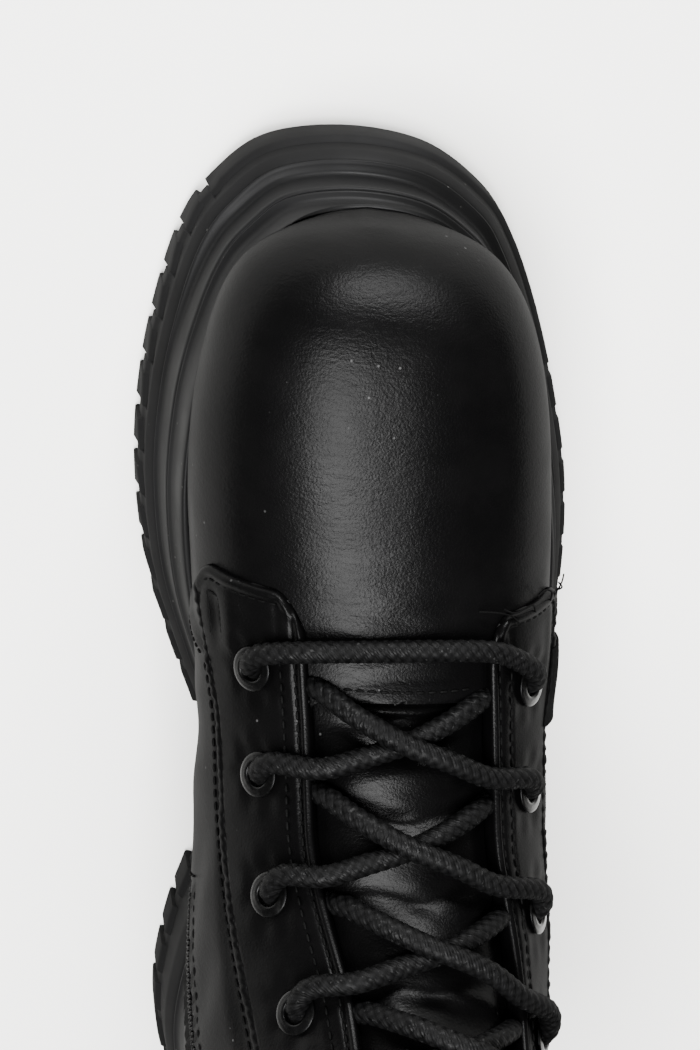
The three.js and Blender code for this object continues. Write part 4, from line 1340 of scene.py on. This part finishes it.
# ------------------------------------------------------------------ stitching
def stitch_points(points, normals, pitch):
    """Middles, directions and outward normals of the stitches along a path."""
    lengths = lengths_along(points)
    at = np.arange(pitch / 2, lengths[-1], pitch)

    def read(values, where):
        return np.stack([np.interp(where, lengths, values[:, k]) for k in range(3)], 1)

    return read(points, at), read(points, at + 0.4) - read(points, at - 0.4), read(normals, at)


def stitch_row(r, a, d, pitch=STITCH_PITCH):
    r, a = np.broadcast_arrays(r, a)
    return stitch_points(skin(r, a, d), surface(r, a)[1], pitch)


def upper_stitch_row(r, a, lift, pitch=STITCH_PITCH):
    """A row of stitches on the upper's own leather."""
    return stitch_row(r, a, upper_relief(r, a) + lift, pitch)


def panel_stitch_rows(side):
    """The rows that hold a lacing panel, and the box that tacks its corner."""
    rows = []
    r = np.linspace(THROAT_FRONT - 8, RIDGE_LENGTH - 3, 400)
    for reach, lift in ((2.8, 1.45), (6.3, 1.62)):
        rows.append(stitch_row(r, throat_middle(r) + side * (THROAT_HALF_WIDTH + reach), lift, 2.9))
    front = facing_place(side, np.full(60, 3.3 / 180), np.linspace(0.12, 0.93, 60))
    rows.append(stitch_row(*front, 1.35, 2.7))
    tack_r, tack_a = CORNER_TACKS[side]
    for shift in (-2.3, 2.3):
        r = np.linspace(tack_r - 5, tack_r + 5, 20)
        rows.append(stitch_row(r, tack_a + shift, 1.35, 1.5))
    a = np.linspace(tack_a - 2.3, tack_a + 2.3, 12)
    rows.append(stitch_row(tack_r - 5, a, 1.35, 1.5))
    return rows


def quarter_stitch_rows(side):
    """The rows along the side seam, the quarter's front edge, the collar and the heel."""
    r = np.linspace(124, RIDGE_LENGTH - 4, 300)
    rows = [upper_stitch_row(r, seam_place(side, r) + side * 4.6, 0.12)]
    a = np.linspace(58, float(keel_arc(119.0, side)) - 8, 80) * side
    rows.append(upper_stitch_row(quarter_front(side, a) + 2.6, a, 0.1))
    if side > 0:
        rows += zip_stitch_rows()
    keel = float(keel_arc(RIDGE_LENGTH - COLLAR_STITCH_DEPTH, side))
    a = np.linspace(THROAT_HALF_WIDTH + 9, keel, 120) * side
    rows.append(upper_stitch_row(collar_row(a, COLLAR_STITCH_DEPTH), a, 0.1))
    r = np.linspace(222, float(collar_row(np.array([keel]), 15)[0]), 160)
    rows.append(upper_stitch_row(r, (keel_arc(r, side) - 8.6) * side, 0.1))
    return rows


def zip_stitch_rows():
    r = np.linspace(ZIP_FROM, RIDGE_LENGTH - 4, 200)
    rows = [upper_stitch_row(r, np.full(200, ZIP_SIDE + shift), 0.12)
            for shift in (-ZIP_STITCH_OUT, ZIP_STITCH_OUT)]
    a = np.linspace(ZIP_SIDE - ZIP_STITCH_OUT, ZIP_SIDE + ZIP_STITCH_OUT, 30)
    return rows + [upper_stitch_row(np.full(30, ZIP_FROM - 1.8), a, 0.12, 2.6)]


def make_stitching():
    rows = []
    for side in (1, -1):
        rows += panel_stitch_rows(side) + quarter_stitch_rows(side)
    r, a = np.full(40, THROAT_FRONT - 2.6), np.linspace(-17, 17, 40)
    rows.append(upper_stitch_row(r, a, 0.1, 2.8))
    centres, alongs, outwards = (np.vstack([row[k] for row in rows]) for k in range(3))
    shape = stitch_shape("stitch_shape", 0.15)
    made = scatter_object("stitching", centres, alongs, outwards, shape, STITCH_SIZE, THREAD)
    bpy.data.objects.remove(shape)
    finish_piece(made)


def make_loose_threads():
    """A few frayed ends at the lateral lacing panel's front corner."""
    knots = [
        [(105.5, -30, 2.0), (103, -27, 2.6), (101.5, -23, 2.4), (100.8, -19, 1.6)],
        [(104.5, -36, 2.2), (101.8, -33, 3.4), (102.5, -28, 3.0), (101, -25, 2.6)],
        [(104.5, -44, 2.2), (101.5, -42, 3.2), (100, -39, 3.0), (100.6, -36, 2.8)],
        [(104.8, -47, 2.0), (102.5, -50, 3.2), (101.4, -53, 3.4)],
        [(105, -52, 2.0), (103, -49, 3.6), (101, -47, 3.2)],
    ]
    paths = [eased(table, 24) for table in knots]
    made = cord_object("loose_threads", paths, 0.22, 0.5, 6, THREAD)
    drop_attributes(made.data)
    finish_piece(made)


# ------------------------------------------------------------------ zip, slider and tab
def make_zip():
    """Two strips of tape with a row of teeth on each."""
    r = np.linspace(ZIP_FROM, RIDGE_LENGTH - 2, 260)
    sheets = []
    for low, high in ((-4.4, -0.2), (0.2, 4.4)):
        grid_r, grid_t = pairs(r, np.linspace(low, high, 7))
        outer = skin(grid_r, ZIP_SIDE + grid_t, -0.35 + 0.1 * np.cos(grid_t * 2))
        inner = skin(grid_r, ZIP_SIDE + grid_t, np.full(grid_r.shape, -0.9))
        sheets.append(sheet_mesh(outer, inner))
    closed_piece("zip_tape_strips", joined(sheets), TAPE)
    along = skin(r, ZIP_SIDE, 0.35)
    shape = stitch_shape("tooth_shape", 0.1)
    centres, alongs, outwards = [], [], []
    middle, forward, normal = stitch_points(along, surface(r, ZIP_SIDE)[1], TOOTH_PITCH)
    forward = unit(forward)
    across = np.cross(normal, forward)
    for side in (1, -1):
        shift = forward * (TOOTH_PITCH / 2 if side < 0 else 0)
        centres.append(middle + across * 0.85 * side + shift)
        alongs.append(across + forward * 0.25 * side)
        outwards.append(normal)
    coil = scatter_object("zip_coil_teeth", np.vstack(centres), np.vstack(alongs),
                          np.vstack(outwards), shape, TOOTH_SIZE, COIL)
    bpy.data.objects.remove(shape)
    finish_piece(coil, ["zip_chain"])


def zip_axes():
    centre, out = surface(ZIP_TO, ZIP_SIDE)
    up = unit(skin(ZIP_TO + 6, ZIP_SIDE) - skin(ZIP_TO - 6, ZIP_SIDE))
    across = unit(np.cross(up, out))
    return centre, across, up, np.cross(across, up)


def slab_points(outline, low, high, soften):
    """A flat plate with rounded edges, from an outline in its own plane."""
    outline = np.asarray(outline, float)
    centre = outline.mean(0)
    rings = []
    for height, inset in ((low, soften), (low + soften * 0.4, soften * 0.3), (low + soften, 0),
                          (high - soften, 0), (high - soften * 0.4, soften * 0.3), (high, soften)):
        reach = np.linalg.norm(outline - centre, axis=1)[:, None]
        spot = centre + (outline - centre) * (1 - inset / reach)
        rings.append(np.column_stack([spot, np.full(len(spot), height)]))
    return ring_mesh(rings)


def rounded(width, height, corner, middle=(0, 0), steps=6):
    points = []
    for k, (sx, sy) in enumerate(((1, 1), (-1, 1), (-1, -1), (1, -1))):
        for step in range(steps + 1):
            angle = (k + step / steps) * math.pi / 2
            points.append((middle[0] + sx * (width / 2 - corner) + corner * math.cos(angle),
                           middle[1] + sy * (height / 2 - corner) + corner * math.sin(angle)))
    return points


def in_zip_frame(local):
    """Points given across, up and out from the zip's slider, in the row frame."""
    centre, across, up, out = zip_axes()
    local = np.asarray(local)
    return centre + local[:, :1] * across + local[:, 1:2] * up + local[:, 2:3] * out


def barrel(radius, half, z, sides=20):
    cos, sin = circle(sides)
    rings = []
    for x, share in ((-half, 0.8), (-half + 0.2, 1), (half - 0.2, 1), (half, 0.8)):
        reach = radius * share
        rings.append(np.stack([np.full(sides, x), reach * cos, z + reach * sin], 1))
    return ring_mesh(rings)


def zip_piece(name, parts, nodes, body="boot"):
    points, faces = joined(parts)
    closed_piece(name, (in_zip_frame(points), faces), METAL, nodes, body, 1e-7)


def make_slider():
    shield = rounded(8.2, 9.8, 2.6)
    parts = [slab_points(shield, 2.4, 3.8, 0.5),
             slab_points([(x * 0.86, y * 0.8) for x, y in shield], 3.5, 4.4, 0.4)]
    for x in (-3.1, 3.1):
        parts.append(slab_points(rounded(1.2, 3.4, 0.5, (x, 0)), 3.8, 8.0, 0.35))
    parts.append(barrel(0.8, 3.2, ZIP_PIVOT_OUT))
    zip_piece("zip_slider_body", parts, ["zip_slider"])


def make_pull():
    plate = ZIP_PIVOT_OUT + 0.6
    parts = [
        barrel(1.95, 1.9, ZIP_PIVOT_OUT),
        slab_points(rounded(3.8, 20, 0.9, (0, -11.2)), plate - 0.65, plate + 0.65, 0.4),
        slab_points(rounded(6.8, 11.6, 2.4, (0, -17)), plate - 0.7, plate + 0.7, 0.45),
    ]
    zip_piece("zip_pull_tab", parts, ["zip_pull"], "pull_tab")


def make_side_tab():
    """The folded cloth tab in the lateral side seam, left blank."""
    s, t = pairs(np.linspace(0, 1, 30), np.linspace(0, 1, 12))
    r = lerp(119, 135, s)
    a = -lerp(50.5, 61, t) + 6 * s
    lift = 2.5 + 0.5 * np.sin(t * math.pi) + 0.25 * np.sin(s * 5)
    closed_piece("side_tab_fold", sheet_mesh(skin(r, a, lift), skin(r, a, lift - 0.9)), TAPE,
                 ["side_tab"])


make_outsole()
make_midsole()
make_welt()
make_insole()
make_upper()
make_tongue()
for panel_side in (1, -1):
    make_facing(panel_side)
    make_seam_edges(panel_side)
make_eyelets()
make_laces()
make_stitching()
make_loose_threads()
make_zip()
make_slider()
make_pull()
make_side_tab()


# ------------------------------------------------------------------ floor, light, camera
def make_floor():
    look = Shader("pale_floor", (0.90, 0.895, 0.872), 0.85, gloss=0.0)
    look.base(look.blend_colors(look.spread(look.noise(3, 2), 0.3, 0.7), (0.90, 0.895, 0.872),
                                (0.91, 0.905, 0.882)))
    low = CAD_LOW.z * 1000 - 0.1
    reach = 9000
    corners = [(x * reach, y * reach, low) for x, y in ((-1, -1), (1, -1), (1, 1), (-1, 1))]
    made = make_object("floor", np.array(corners), [[0, 1, 2, 3]], look.material, shade=False)


def make_light(name, place_at, aim, size, power):
    lamp = bpy.data.lights.new(name, "AREA")
    lamp.shape = "RECTANGLE"
    lamp.size, lamp.size_y = size
    lamp.energy = power
    made = bpy.data.objects.new(name, lamp)
    made.location = place_at
    made.rotation_euler = (Vector(aim) - Vector(place_at)).to_track_quat("-Z", "Y").to_euler()
    bpy.context.collection.objects.link(made)


def make_world(strength):
    world = bpy.data.worlds.new("studio")
    world.use_nodes = True
    back = world.node_tree.nodes["Background"]
    back.inputs["Color"].default_value = (1.0, 0.99, 0.97, 1)
    back.inputs["Strength"].default_value = strength
    bpy.context.scene.world = world


def make_camera():
    where = Vector((0.1106, -0.3324, 0.7386))
    target = Vector((0.0062, -0.0542, 0.050))
    roll = math.radians(4.56)
    ahead = (target - where).normalized()
    across = ahead.cross(Vector((0, -1, 0))).normalized()
    above = across.cross(ahead)
    right = across * math.cos(roll) + above * math.sin(roll)
    up = above * math.cos(roll) - across * math.sin(roll)
    lens = bpy.data.cameras.new("camera")
    lens.sensor_fit = "AUTO"
    lens.sensor_width = 36
    lens.lens = 105.4
    made = bpy.data.objects.new("camera", lens)
    made.matrix_world = Matrix((
        (right.x, up.x, -ahead.x, where.x),
        (right.y, up.y, -ahead.y, where.y),
        (right.z, up.z, -ahead.z, where.z),
        (0, 0, 0, 1),
    ))
    bpy.context.collection.objects.link(made)
    bpy.context.scene.camera = made


make_floor()
make_light("top_softbox", (0.26, -0.03, 1.62), (0.0, -0.03, 0.08), (0.95, 0.75), 116)
make_light("toe_softbox", (-0.16, -1.5, 0.66), (0.0, -0.05, 0.06), (0.7, 0.4), 62)
make_world(0.55)
make_camera()
